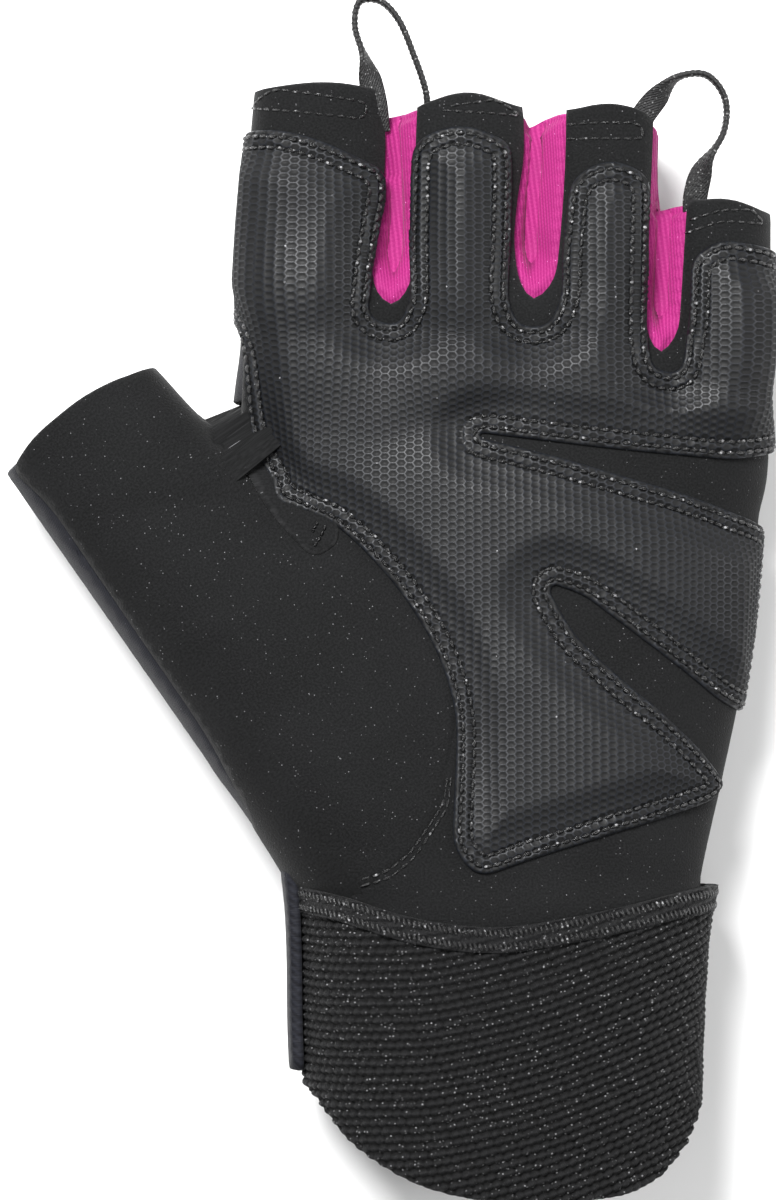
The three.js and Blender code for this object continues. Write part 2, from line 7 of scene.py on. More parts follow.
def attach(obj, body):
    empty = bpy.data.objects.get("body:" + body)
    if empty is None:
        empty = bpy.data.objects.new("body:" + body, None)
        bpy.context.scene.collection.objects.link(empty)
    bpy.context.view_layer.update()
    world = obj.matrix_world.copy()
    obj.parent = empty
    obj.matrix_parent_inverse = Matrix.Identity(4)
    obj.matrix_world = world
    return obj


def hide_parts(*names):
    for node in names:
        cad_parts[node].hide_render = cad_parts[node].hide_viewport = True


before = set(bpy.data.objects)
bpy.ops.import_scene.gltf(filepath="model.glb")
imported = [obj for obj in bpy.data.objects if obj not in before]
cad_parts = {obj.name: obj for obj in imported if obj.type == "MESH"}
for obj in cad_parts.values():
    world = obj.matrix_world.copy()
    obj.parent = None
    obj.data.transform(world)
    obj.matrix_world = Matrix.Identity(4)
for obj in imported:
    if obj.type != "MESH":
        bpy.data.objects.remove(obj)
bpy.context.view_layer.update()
print("frame loaded")

# Sizes of the whole glove in millimetres. Lengths below are millimetres, and table columns are
# shares: across of the width, along of the length, heights of the depth.
glove = {
    "length": 190,
    "width": 92,
    "depth": 29,
    "thumbLength": 60,
    "thumbLean": 35,
    "thumbRoot": (-0.422, 0.447),
    "middle": (-18.768, 102.673),  # middle of the glove's box, from the palm's middle at the rim
}
length, width, depth = glove["length"], glove["width"], glove["depth"]
lean = np.radians(glove["thumbLean"])
thumbAt = np.array(glove["thumbRoot"]) * (width, length)

# Camera straight above the glove, as in the photograph
camera = {"middle": (-1.4, 0.2), "height": 1100, "frame": 206.4, "sensor": 36, "level": 23}
cameraData = bpy.data.cameras.new("camera")
cameraData.sensor_width = camera["sensor"]
cameraData.lens = camera["sensor"] * camera["height"] / camera["frame"]
cameraData.clip_start = 0.01
cameraObject = bpy.data.objects.new("camera", cameraData)
cameraObject.location = (*np.array(camera["middle"]) / 1000, (camera["height"] + camera["level"]) / 1000)
bpy.context.scene.collection.objects.link(cameraObject)
bpy.context.scene.camera = cameraObject
print("camera placed")


def table(columns, rows):
    return dict(zip(columns.split(), np.array(rows, float).T))


def curve(rows, column):
    # smooth curve through one column of a table
    along, values = rows["along"], rows[column]
    slope = np.gradient(values, along)
    slope[1:-1] = (values[2:] - values[:-2]) / (along[2:] - along[:-2])
    fine = np.linspace(along[0], along[-1], 500)
    i = np.clip(np.searchsorted(along, fine, "right") - 1, 0, len(along) - 2)
    span = along[i + 1] - along[i]
    t = (fine - along[i]) / span
    rise = t * t * (3 - 2 * t)
    smooth = values[i] * (1 - rise) + values[i + 1] * rise
    smooth += span * (slope[i] * t * (1 - t) ** 2 - slope[i + 1] * t * t * (1 - t))
    return lambda place: np.interp(place, fine, smooth)


def smoothStep(value, low, high):
    t = np.clip((value - low) / (high - low), 0, 1)
    return t * t * (3 - 2 * t)


# The hand inside the glove, as ovals joined softly
form = {
    "power": 2.4,
    "knuckleRound": 9,
    "gapSoft": 4.5,
    "rootSoft": 5,
    "thumbSoft": 8,
    "restSoft": 1.2,
    "fingerGap": 0.25,
}
sectionColumns = "along left right back front"
palmTable = table(sectionColumns, [
    (0.16, -0.352, 0.352, 0.15, 1.22),
    (0.243, -0.354, 0.356, 0.15, 1.22),
    (0.288, -0.368, 0.366, 0.14, 1.2),
    (0.379, -0.426, 0.408, 0.08, 1.15),
    (0.461, -0.458, 0.444, 0.03, 1.1),
    (0.542, -0.48, 0.467, -0.02, 1.06),
    (0.633, -0.497, 0.481, -0.06, 1.03),
    (0.705, -0.502, 0.49, -0.06, 1.0),
    (0.778, -0.498, 0.496, -0.04, 0.97),
    (0.832, -0.495, 0.497, 0, 0.93),
])
knuckleLine = {"along": 0.842, "slope": -0.05, "arch": -0.445}
restTable = table("along height", [(0.3, 0.19), (0.4, 0.13), (0.53, 0), (0.6, 0)])
gapColumns = "along crease openLeft openRight"
gaps = [
    {"foot": 0.804, "rows": table(gapColumns, [
        (0.826, -0.214, 0.032, 0.034),
        (0.868, -0.204, 0.034, 0.029),
        (0.905, -0.203, 0.022, 0.031),
        (0.945, -0.208, 0.012, 0.036),
        (1.04, -0.211, 0.012, 0.047),
    ])},
    {"foot": 0.81, "rows": table(gapColumns, [
        (0.832, 0.052, 0.026, 0.038),
        (0.868, 0.047, 0.028, 0.051),
        (0.905, 0.051, 0.025, 0.053),
        (0.94, 0.058, 0.019, 0.05),
        (1.04, 0.06, 0.024, 0.052),
    ])},
    {"foot": 0.762, "rows": table(gapColumns, [
        (0.784, 0.29, 0.024, 0.03),
        (0.82, 0.291, 0.027, 0.034),
        (0.89, 0.298, 0.026, 0.036),
        (0.92, 0.302, 0.026, 0.037),
        (1.04, 0.303, 0.018, 0.037),
    ])},
]
outerTable = table("along left right", [
    (0.65, -0.488, 0.478),
    (0.705, -0.495, 0.488),
    (0.778, -0.498, 0.499),
    (0.86, -0.491, 0.5),
    (0.905, -0.487, 0.5),
    (1.04, -0.464, 0.499),
])
depthColumns = "along back front"
fingers = [
    {"root": 0.68, "rows": table(depthColumns, [
        (0.69, 0.17, 0.82),
        (0.742, 0.06, 0.92),
        (0.814, 0.05, 0.985),
        (0.905, 0.24, 0.96),
        (1.005, 0.33, 0.94),
    ])},
    {"root": 0.68, "rows": table(depthColumns, [
        (0.69, 0.15, 0.84),
        (0.742, 0.05, 0.94),
        (0.814, 0.03, 1.0),
        (0.905, 0.21, 0.98),
        (1.0, 0.31, 0.955),
    ])},
    {"root": 0.67, "rows": table(depthColumns, [
        (0.69, 0.15, 0.83),
        (0.742, 0.05, 0.93),
        (0.814, 0.03, 0.98),
        (0.905, 0.22, 0.96),
        (0.99, 0.31, 0.935),
    ])},
    {"root": 0.64, "rows": table(depthColumns, [
        (0.65, 0.17, 0.8),
        (0.705, 0.07, 0.89),
        (0.769, 0.06, 0.93),
        (0.814, 0.1, 0.925),
        (0.902, 0.3, 0.885),
    ])},
]
thumbTable = table(sectionColumns, [
    (-0.75, -0.172, 0.2, 0.2, 1.1),
    (-0.3, -0.174, 0.25, 0.14, 1.19),
    (0, -0.175, 0.27, 0.1, 1.19),
    (0.3, -0.175, 0.24, 0.11, 1.14),
    (0.67, -0.175, 0.198, 0.17, 1.06),
    (1, -0.175, 0.17, 0.21, 0.99),
    (1.1, -0.175, 0.167, 0.22, 0.98),
])
thumbHem = 0.27
wrapTable = table(sectionColumns, [
    (-0.02, -0.362, 0.356, 0.13, 1.25),
    (0.06, -0.375, 0.368, 0.06, 1.29),
    (0.15, -0.384, 0.374, 0.04, 1.32),
    (0.22, -0.386, 0.382, 0.05, 1.32),
    (0.27, -0.391, 0.393, 0.06, 1.315),
    (0.32, -0.405, 0.41, 0.06, 1.3),
])
wrapRest = 2.35

# Soft folds and hollows of the cloth: where, how long and how wide, turned by degrees, how deep
folds = table("across along long wide turned deep", [
    (-0.17, 0.782, 0.26, 0.045, 0, 0.8),  # under the finger roots
    (0.09, 0.778, 0.2, 0.04, 0, 0.7),
    (0.31, 0.73, 0.16, 0.04, 0, 0.7),
    (-0.12, 0.7, 0.16, 0.05, 20, 0.9),  # across the palm, towards the upper slit
    (-0.26, 0.825, 0.05, 0.16, 90, -0.4),  # ridge along the index finger
    (-0.6, 0.628, 0.1, 0.02, 4, 0.55),  # thumb
    (-0.535, 0.52, 0.1, 0.03, 22, -0.5),
    (-0.47, 0.4, 0.12, 0.03, 30, -0.3),
    (-0.31, 0.297, 0.06, 0.012, -12, 0.35),  # small creases over the wrap
    (-0.3, 0.318, 0.08, 0.014, -8, 0.3),
])


def smoothMin(a, b, soft):
    return np.minimum(a, b) - np.maximum(soft - np.abs(a - b), 0) ** 2 / (4 * soft)


def smoothMax(a, b, soft):
    return -smoothMin(-a, -b, soft)


def ovalDistance(across, height, left, right, back, front):
    power = form["power"]
    halfX, halfZ = (right - left) / 2, (front - back) / 2
    x = np.abs(across - (left + right) / 2) / halfX + 1e-4
    z = np.abs(height - (back + front) / 2) / halfZ + 1e-4
    size = (x**power + z**power) ** (1 / power)
    slope = np.hypot((x / size) ** (power - 1) / halfX, (z / size) ** (power - 1) / halfZ)
    return (size - 1) / slope


def reader(rows, scales):
    curves = {name: curve(rows, name) for name in scales}
    return lambda along: [curves[name](along) * scales[name] for name in scales]


sectionScales = {"left": width, "right": width, "back": depth, "front": depth}
readPalm = reader(palmTable, sectionScales)
readThumb = reader(thumbTable, sectionScales)
readWrap = reader(wrapTable, sectionScales)
readOuter = reader(outerTable, {"left": width, "right": width})
readCreases = [curve(gap["rows"], "crease") for gap in gaps]
readDepths = [reader(finger["rows"], {"back": depth, "front": depth}) for finger in fingers]
readRest = curve(restTable, "height")


def foldDepth(x, y):
    total = 0
    for i in range(len(folds["across"])):
        across, along, long, wide, turned, deep = (folds[name][i] for name in folds)
        turn = np.radians(turned)
        dx, dy = x - across * width, y - along * length
        run = dx * np.cos(turn) + dy * np.sin(turn)
        off = dy * np.cos(turn) - dx * np.sin(turn)
        total += deep * np.exp(-((run / (long * width)) ** 2) - (off / (wide * width)) ** 2)
    return total


def handField(points):
    x, y, z = points[..., 0], points[..., 1], points[..., 2]
    along = y / length
    palm = ovalDistance(x, z, *readPalm(along))
    bend = (knuckleLine["slope"] + knuckleLine["arch"] * x / width) * x / width
    palm = smoothMax(palm, y - (knuckleLine["along"] + bend) * length, form["knuckleRound"])
    outerLeft, outerRight = readOuter(along)
    creases = [read(along) * width for read in readCreases]
    lefts = [outerLeft] + [crease + form["fingerGap"] for crease in creases]
    rights = [crease - form["fingerGap"] for crease in creases] + [outerRight]
    tubes = None
    for finger, readDepth, left, right in zip(fingers, readDepths, lefts, rights):
        tube = ovalDistance(x, z, left, right, *readDepth(along))
        tube = smoothMax(tube, finger["root"] * length - y, form["rootSoft"])
        tubes = tube if tubes is None else smoothMin(tubes, tube, form["gapSoft"])
    body = smoothMin(palm, tubes, form["rootSoft"])
    body = smoothMax(body, readRest(along) * depth - z, form["restSoft"])
    dx, dy = x - thumbAt[0], y - thumbAt[1]
    across = dx * np.cos(lean) + dy * np.sin(lean)
    out = (dy * np.cos(lean) - dx * np.sin(lean)) / glove["thumbLength"]
    thumb = ovalDistance(across, z, *readThumb(out))
    thumb = smoothMax(thumb, thumbHem * length - y, 2)
    front = smoothStep(z, depth * 0.5, depth * 0.75)
    return smoothMin(body, thumb, form["thumbSoft"]) + foldDepth(x, y) * front


def wrapField(points):
    x, y, z = points[..., 0], points[..., 1], points[..., 2]
    oval = ovalDistance(x, z, *readWrap(y / length))
    return smoothMax(oval, wrapRest - z, form["restSoft"])


class Lay:
    # Cloth laid on a form. Flat places (u across, v along) go to rays that leave a core line, straight
    # up in its middle and fanning round its ends, so a piece can be cut flat and wrapped on.
    def __init__(self, field, core, uRange, vRange, facing=1, turn=0.0, root=(0, 0), step=1.2):
        self.core, self.facing, self.turn, self.root = core, facing, turn, np.array(root, float)
        self.low, self.step = np.array((uRange[0], vRange[0]), float), step
        u, v = np.meshgrid(np.arange(*uRange, step), np.arange(*vRange, step), indexing="ij")
        start, ray = self.rays(u, v)
        reach = np.full(u.shape, 3.0)
        for _ in range(48):
            gap = field(self.toHand(start + ray * reach[..., None]))
            reach = np.clip(reach - 0.8 * gap, 0.5, 70)
        at = start + ray * reach[..., None]
        out = np.empty_like(at)
        for axis in range(3):
            nudge = np.zeros(3)
            nudge[axis] = 0.2
            out[..., axis] = field(self.toHand(at + nudge)) - field(self.toHand(at - nudge))
        out /= np.linalg.norm(out, axis=-1, keepdims=True) + 1e-9
        self.grid = np.concatenate([at, out], axis=-1)

    def rays(self, u, v):
        left, right, height, radius = (np.broadcast_to(read(v), v.shape) for read in self.core)
        middle, half = (left + right) / 2, (right - left) / 2 - radius
        side = np.sign(u - middle)
        past = np.abs(u - middle) - half
        turn = np.clip(past / radius, 0, np.pi)
        start = middle + side * (half + np.minimum(past, 0) - np.maximum(past - np.pi * radius, 0))
        start = np.stack([start, v, height], axis=-1)
        ray = np.stack([side * np.sin(turn), np.zeros(v.shape), self.facing * np.cos(turn)], axis=-1)
        return start, ray

    def toHand(self, local):
        c, s = np.cos(self.turn), np.sin(self.turn)
        x = self.root[0] + local[..., 0] * c - local[..., 1] * s
        y = self.root[1] + local[..., 0] * s + local[..., 1] * c
        return np.stack([x, y, local[..., 2]], axis=-1)

    def toLocal(self, places):
        c, s = np.cos(self.turn), np.sin(self.turn)
        dx, dy = places[:, 0] - self.root[0], places[:, 1] - self.root[1]
        return np.stack([dx * c + dy * s, dy * c - dx * s], axis=-1)

    def sample(self, flat):
        # smooth (bicubic) reading of the grid
        q = (np.asarray(flat, float) - self.low) / self.step
        i = np.clip(np.floor(q).astype(int), 1, np.array(self.grid.shape[:2]) - 3)
        t = np.clip(q - i, 0, 1)
        weights = np.stack([
            ((2 - t) * t - 1) * t / 2,
            ((3 * t - 5) * t * t + 2) / 2,
            ((4 - 3 * t) * t + 1) * t / 2,
            (t - 1) * t * t / 2,
        ])
        total = 0
        for a in range(4):
            for b in range(4):
                share = (weights[a, :, 0] * weights[b, :, 1])[:, None]
                total = total + share * self.grid[i[:, 0] + a - 1, i[:, 1] + b - 1]
        return total

    def place(self, flat, height):
        found = self.sample(flat)
        out = found[:, 3:] / (np.linalg.norm(found[:, 3:], axis=1, keepdims=True) + 1e-9)
        return self.toHand(found[:, :3] + out * np.reshape(height, (-1, 1)))

    def flatten(self, places):
        # Flat places that lie under places seen from above. Past the side of the form, the cloth
        # goes on round it.
        local = self.toLocal(np.asarray(places, float))
        v = local[:, 1]
        left, right, _, radius = (np.broadcast_to(read(v), v.shape) for read in self.core)
        extra = (np.pi / 2 - 1) * radius
        low, high = left - extra, right + extra
        sides = [self.sample(np.stack([side, v], -1))[:, 0] for side in (low, high)]
        over = np.maximum(local[:, 0] - sides[1], 0) - np.maximum(sides[0] - local[:, 0], 0)
        a, b = low.copy(), high.copy()
        for _ in range(26):
            middle = (a + b) / 2
            short = self.sample(np.stack([middle, v], -1))[:, 0] < local[:, 0]
            a, b = np.where(short, middle, a), np.where(short, b, middle)
        return np.stack([(a + b) / 2 + over, v], -1)


coreColumns = "along left right height radius"
handCore = table(coreColumns, [
    (0.1, -0.353, 0.353, 0.7, 0.5),
    (0.243, -0.36, 0.363, 0.7, 0.5),
    (0.288, -0.375, 0.37, 0.68, 0.5),
    (0.379, -0.426, 0.408, 0.61, 0.52),
    (0.461, -0.458, 0.444, 0.56, 0.52),
    (0.542, -0.48, 0.467, 0.52, 0.52),
    (0.633, -0.497, 0.481, 0.5, 0.51),
    (0.705, -0.502, 0.49, 0.5, 0.49),
    (0.778, -0.498, 0.498, 0.5, 0.45),
    (0.86, -0.491, 0.5, 0.55, 0.38),
    (0.905, -0.487, 0.5, 0.6, 0.34),
    (1.0, -0.47, 0.499, 0.64, 0.3),
])
thumbCore = table(coreColumns, [
    (-0.75, -0.172, 1.1, 0.66, 0.36),
    (0, -0.175, 1.1, 0.64, 0.38),
    (0.35, -0.175, 0.8, 0.62, 0.38),
    (0.56, -0.175, 0.21, 0.61, 0.38),
    (1, -0.175, 0.17, 0.6, 0.34),
])


def coreOf(rows, per):
    scales = {"left": width, "right": width, "height": depth, "radius": depth}
    scaleOf = lambda read, size: (lambda v: read(v / per) * size)
    return [scaleOf(curve(rows, name), size) for name, size in scales.items()]


handLay = Lay(handField, coreOf(handCore, length), (-95, 95), (44, 204))
backLay = Lay(handField, coreOf(handCore, length), (-95, 95), (44, 204), facing=-1)
thumbSpan = {"uRange": (-52, 78), "vRange": (-48, 74), "turn": lean, "root": thumbAt}
thumbLay = Lay(handField, coreOf(thumbCore, glove["thumbLength"]), **thumbSpan)
thumbBackLay = Lay(handField, coreOf(thumbCore, glove["thumbLength"]), facing=-1, **thumbSpan)
wrapSizes = (-0.38 * width, 0.38 * width, 0.66 * depth, 0.55 * depth)  # the same at every height
wrapCore = [lambda v, size=size: size for size in wrapSizes]
wrapLay = Lay(wrapField, wrapCore, (-100, 100), (-8, 64))
print("cloth laid on the hand")


# Cutting and sewing
def rounded(corners, steps=5):
    # outline through corners (across, along, reach of the rounding), as millimetres
    places = np.array([corner[:2] for corner in corners], float) * (width, length)
    before, after = np.roll(places, 1, 0), np.roll(places, -1, 0)
    outline = []
    for place, a, b, corner in zip(places, before, after, corners):
        sides = [np.linalg.norm(a - place), np.linalg.norm(b - place)]
        reach = min(corner[2] * width, 0.45 * min(sides))
        if reach < 0.2:
            outline.append(place)
            continue
        start, end = place + (a - place) * reach / sides[0], place + (b - place) * reach / sides[1]
        for t in np.linspace(0, 1, steps):
            outline.append(start * (1 - t) ** 2 + place * 2 * t * (1 - t) + end * t * t)
    return np.array(outline)


def resample(line, step, closed=True):
    line = np.concatenate([line, line[:1]]) if closed else np.asarray(line, float)
    along = np.concatenate([[0], np.cumsum(np.linalg.norm(np.diff(line, axis=0), axis=1))])
    count = max(int(round(along[-1] / step)), 3)
    places = np.linspace(0, along[-1], count + 1)[: count if closed else None]
    return np.stack([np.interp(places, along, line[:, axis]) for axis in (0, 1)], -1)


def inParts(work, points, size=3000):
    return np.concatenate([work(points[i : i + size]) for i in range(0, len(points), size)])


def insideOf(points, outline):
    ends = np.roll(outline, -1, 0)
    rise = ends[:, 1] - outline[:, 1]
    rise = np.where(np.abs(rise) < 1e-9, 1e-9, rise)

    def work(some):
        y = some[:, 1:2]
        crosses = (outline[:, 1] > y) != (ends[:, 1] > y)
        cut = outline[:, 0] + (ends[:, 0] - outline[:, 0]) * (y - outline[:, 1]) / rise
        return (crosses & (some[:, 0:1] < cut)).sum(1) % 2 == 1

    return inParts(work, points)


def edgeDistance(points, starts, ends):
    runs = ends - starts
    lengths = (runs**2).sum(1) + 1e-12

    def work(some):
        offset = some[:, None, :] - starts
        t = np.clip((offset * runs).sum(2) / lengths, 0, 1)
        return np.sqrt(((offset - t[..., None] * runs) ** 2).sum(2).min(1))

    return inParts(work, points)


def lineDistance(points, line, closed=True):
    ends = np.roll(line, -1, 0)
    return edgeDistance(points, line, ends) if closed else edgeDistance(points, line[:-1], line[1:])


def triangulate(points, links, kind=0):
    made = delaunay_2d_cdt(points.tolist(), [(int(a), int(b)) for a, b in links], [], kind, 1e-6)
    sources = [ids[0] if ids else -1 for ids in made[3]]
    return np.array([tuple(v) for v in made[0]]), np.array(made[2]), np.array(sources)


def ring(first, count):
    return [(first + i, first + (i + 1) % count) for i in range(count)]


def cutSheet(outline, cuts=(), step=1.5, seeds=None, insets=(0.3,)):
    # Cuts one flat piece of cloth. Gives its places, its faces, its edge and how far each place
    # lies from that edge; seeds are given places with their links and a value for each.
    loops = [resample(loop, step) for loop in (outline, *cuts)]
    links, first = [], 0
    for loop in loops:
        links += ring(first, len(loop))
        first += len(loop)
    flat, faces, _ = triangulate(np.concatenate(loops), links)
    centres = flat[faces].mean(1)
    keep = insideOf(centres, loops[0])
    for loop in loops[1:]:
        keep &= ~insideOf(centres, loop)
    faces = faces[keep]
    sides = np.concatenate([faces[:, [0, 1]], faces[:, [1, 2]], faces[:, [2, 0]]])
    keys = np.sort(sides, 1)
    _, place, count = np.unique(keys, axis=0, return_index=True, return_counts=True)
    edge = sides[place[count == 1]]
    used, names = np.unique(edge, return_inverse=True)
    rim, edge = flat[used], names.reshape(-1, 2)
    starts, ends = rim[edge[:, 0]], rim[edge[:, 1]]

    def within(points, least):
        kept = insideOf(points, loops[0])
        for loop in loops[1:]:
            kept &= ~insideOf(points, loop)
        kept[kept] &= edgeDistance(points[kept], starts, ends) > least
        return kept

    inward = np.stack([starts[:, 1] - ends[:, 1], ends[:, 0] - starts[:, 0]], -1)
    inward /= np.linalg.norm(inward, axis=1, keepdims=True)
    lifts = np.zeros_like(rim)
    for side in (0, 1):
        np.add.at(lifts, edge[:, side], inward)
    lifts /= np.linalg.norm(lifts, axis=1, keepdims=True) + 1e-9
    groups, values, links = [rim], [np.zeros(len(rim))], edge
    for inset in insets:
        inner = rim + lifts * inset
        inner = inner[within(inner, inset * 0.9)]
        groups.append(inner)
        values.append(np.zeros(len(inner)))
    first = sum(len(group) for group in groups)
    if seeds is None:
        low, high = rim.min(0), rim.max(0)
        rows = np.arange(low[1], high[1], step * 0.87)
        columns = np.arange(low[0], high[0], step)
        body = np.array([(x + (j % 2) * step / 2, y) for j, y in enumerate(rows) for x in columns])
        body = body[within(body, max(insets) + step * 0.4)]
        groups.append(body)
        values.append(np.zeros(len(body)))
    else:
        body, seedLinks, seedValues = seeds
        kept = within(body, max(insets, default=0) + 0.25)
        number = np.cumsum(kept) - 1 + first
        seedLinks = seedLinks[kept[seedLinks].all(1)]
        groups.append(body[kept])
        values.append(seedValues[kept])
        links = np.concatenate([links, number[seedLinks]])
    points, values = np.concatenate(groups), np.concatenate(values)
    flat, faces, sources = triangulate(points, links, 1)
    return {
        "flat": flat,
        "faces": faces,
        "rim": rim,
        "edge": edge,
        "far": edgeDistance(flat, starts, ends),
        "value": np.where(sources >= 0, values[sources], 0),
        "within": within,
    }


def onCloth(flat, relief=0.0, far=9.0):
    full = np.ones(len(flat))
    return np.column_stack([flat, full * relief, full * far])


def sheetMesh(lay, cut, top, under, coarse=5.0, edgeRound=0.5):
    # Lays a cut piece on a form as a closed sheet, with its upper and lower faces at given heights
    flat, faces, far = cut["flat"], cut["faces"], cut["far"]
    low, high = under(flat, far), top(flat, far, cut["value"])
    share = 0.35 + 0.65 * np.sqrt(1 - (1 - np.clip(far / edgeRound, 0, 1)) ** 2)
    upper = lay.place(flat, low + (high - low) * share)
    rim = cut["rim"]
    box = [rim.min(0), rim.max(0)]
    grid = np.stack(np.meshgrid(*[np.arange(a, b, coarse) for a, b in zip(*box)]), -1).reshape(-1, 2)
    grid = grid[cut["within"](grid, coarse * 0.35)] if len(grid) else grid
    lowFlat, lowFaces, lowSources = triangulate(np.concatenate([rim, grid]), cut["edge"], 1)
    lowFar = np.where(lowSources < len(rim), 0, 9)
    lower = lay.place(lowFlat, under(lowFlat, lowFar))
    # matching rim places of both faces
    atTop = {tuple(np.round(p, 4)): i for i, p in enumerate(flat)}
    atLow = {tuple(np.round(p, 4)): i + len(flat) for i, p in enumerate(lowFlat)}
    keys = [tuple(np.round(p, 4)) for p in rim]
    walls = []
    for a, b in cut["edge"]:
        walls.append((atTop[keys[b]], atTop[keys[a]], atLow[keys[a]], atLow[keys[b]]))
    allFaces = [tuple(face) for face in faces]
    allFaces += [tuple(face[::-1] + len(flat)) for face in lowFaces] + walls
    if lay.facing < 0:
        allFaces = [face[::-1] for face in allFaces]
    flats = np.concatenate([onCloth(flat, cut["value"], far), onCloth(lowFlat, 0, lowFar)])
    return np.concatenate([upper, lower]), allFaces, flats


def stitches(lay, lines, height, share=0.82, thick=0.26, lift=0.2, sides=6, rings=6):
    # Thread along lines of flat places, one long bead for each step of a line, its ends drawn in
    points, faces, flats = [], [], []
    for line in lines:
        starts, ends = line[:-1], line[1:]
        count = len(starts)
        if not count:
            continue
        run = ends - starts
        across = np.stack([-run[:, 1], run[:, 0]], -1)
        across /= np.linalg.norm(across, axis=1, keepdims=True) + 1e-9
        t = np.linspace((1 - share) / 2, (1 + share) / 2, rings)
        fat = np.sin(np.pi * np.linspace(0.08, 0.92, rings)) ** 0.4
        arch = np.sin(np.pi * np.linspace(0.02, 0.98, rings))
        turn = np.arange(sides) * 2 * np.pi / sides
        middle = starts[:, None, :] + run[:, None, :] * t[None, :, None]
        side = np.cos(turn)[None, None, :] * fat[None, :, None] * thick
        flat = middle[:, :, None, :] + across[:, None, None, :] * side[..., None]
        base = height(middle.reshape(-1, 2)).reshape(count, rings)
        up = base[:, :, None] + (arch[None, :, None] * lift - 0.12)
        up = up + np.sin(turn)[None, None, :] * fat[None, :, None] * thick
        first = sum(len(p) for p in points)
        flats.append(flat.reshape(-1, 2))
        points.append(lay.place(flat.reshape(-1, 2), up.reshape(-1)))
        block = rings * sides
        for n in range(count):
            at = first + n * block
            for r in range(rings - 1):
                for s in range(sides):
                    a, b = at + r * sides + s, at + r * sides + (s + 1) % sides
                    faces.append((a, a + sides, b + sides, b))
            faces.append(tuple(at + s for s in range(sides)))
            faces.append(tuple(at + block - 1 - s for s in range(sides)))
    return np.concatenate(points), faces, onCloth(np.concatenate(flats))


def joined(meshes):
    points, faces, flats, first = [], [], [], 0
    for some, theirFaces, flat in meshes:
        points.append(some)
        flats.append(flat)
        faces += [tuple(int(i) + first for i in face) for face in theirFaces]
        first += len(some)
    return np.concatenate(points), faces, np.concatenate(flats)


def addPiece(name, built, material, slot, *nodes):
    points, faces, flat = built
    places = (points - (*glove["middle"], 0)) / 1000
    places[:, 2] = np.maximum(places[:, 2], 0.0001)  # what rests on the floor is pressed flat
    mesh = bpy.data.meshes.new(name)
    mesh.from_pydata(places.tolist(), [], [tuple(int(i) for i in face) for face in faces])
    mesh.polygons.foreach_set("use_smooth", [True] * len(mesh.polygons))
    flat = flat.astype(np.float32)
    cloth = mesh.attributes.new("flat", "FLOAT_VECTOR", "POINT")
    cloth.data.foreach_set("vector", flat[:, :3].ravel())
    mesh.attributes.new("edge", "FLOAT", "POINT").data.foreach_set("value", flat[:, 3].copy())
    mesh.materials.append(material)
    mesh.update()
    piece = bpy.data.objects.new(name, mesh)
    bpy.context.scene.collection.objects.link(piece)
    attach(piece, "root")
    if nodes:
        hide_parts(*nodes)
    print("made", name, len(mesh.polygons), "faces")
    return piece


def clothSize(sheets, wider=0, larger=0):
    # a cut's flat width and length and its flat area, in metres, from sheets cut side by side
    area = larger
    for cut in sheets:
        a, b, c = (cut["flat"][np.array(cut["faces"])[:, i]] for i in range(3))
        area += np.abs((b - a)[:, 0] * (c - a)[:, 1] - (b - a)[:, 1] * (c - a)[:, 0]).sum() / 2
    sides = np.array([np.ptp(cut["flat"], axis=0) for cut in sheets])
    return (float(sides[:, 0].sum() + wider) / 1000, float(sides[:, 1].max()) / 1000), float(area) / 1e6


cuts = {}  # each cloth's flat cuts, for its printed size


def plain(name, colour, roughness):
    made = bpy.data.materials.new(name)
    made.use_nodes = True
    shader = made.node_tree.nodes["Principled BSDF"]
    shader.inputs["Base Color"].default_value = (*colour, 1)
    shader.inputs["Roughness"].default_value = roughness
    return made


def nodeGroup(name, inputs, outputs):
    # empty shader node group with named sockets
    tree = bpy.data.node_groups.new(name, "ShaderNodeTree")
    for kind, sockets in (("INPUT", inputs), ("OUTPUT", outputs)):
        for socket, (sort, value) in sockets.items():
            made = tree.interface.new_socket(socket, in_out=kind, socket_type="NodeSocket" + sort)
            if value is not None:
                made.default_value = value
    return tree, tree.nodes.new("NodeGroupInput").outputs, tree.nodes.new("NodeGroupOutput").inputs


def node(tree, kind, values=None, **settings):
    made = tree.nodes.new(kind)
    for key, value in settings.items():
        setattr(made, key, value)
    for socket, value in (values or {}).items():
        feed(tree, value, made.inputs[socket])
    return made


def feed(tree, value, socket):
    if hasattr(value, "is_linked"):
        tree.links.new(value, socket)
    else:
        socket.default_value = value


def maths(tree, operation, a, b=0.0, c=0.0):
    return node(tree, "ShaderNodeMath", {0: a, 1: b, 2: c}, operation=operation).outputs[0]


def scaled(tree, place, scale):
    made = node(tree, "ShaderNodeVectorMath", {0: place}, operation="SCALE")
    feed(tree, scale, made.inputs["Scale"])
    return made.outputs[0]


def noise(tree, place, scale, detail=2.0):
    values = {"Vector": scaled(tree, place, scale), "Scale": 1.0, "Detail": detail}
    return node(tree, "ShaderNodeTexNoise", values).outputs[0]


def ramp(tree, value, low, high, toLow=0.0, toHigh=1.0):
    values = {"Value": value, "From Min": low, "From Max": high, "To Min": toLow, "To Max": toHigh}
    return node(tree, "ShaderNodeMapRange", values, interpolation_type="SMOOTHSTEP").outputs[0]
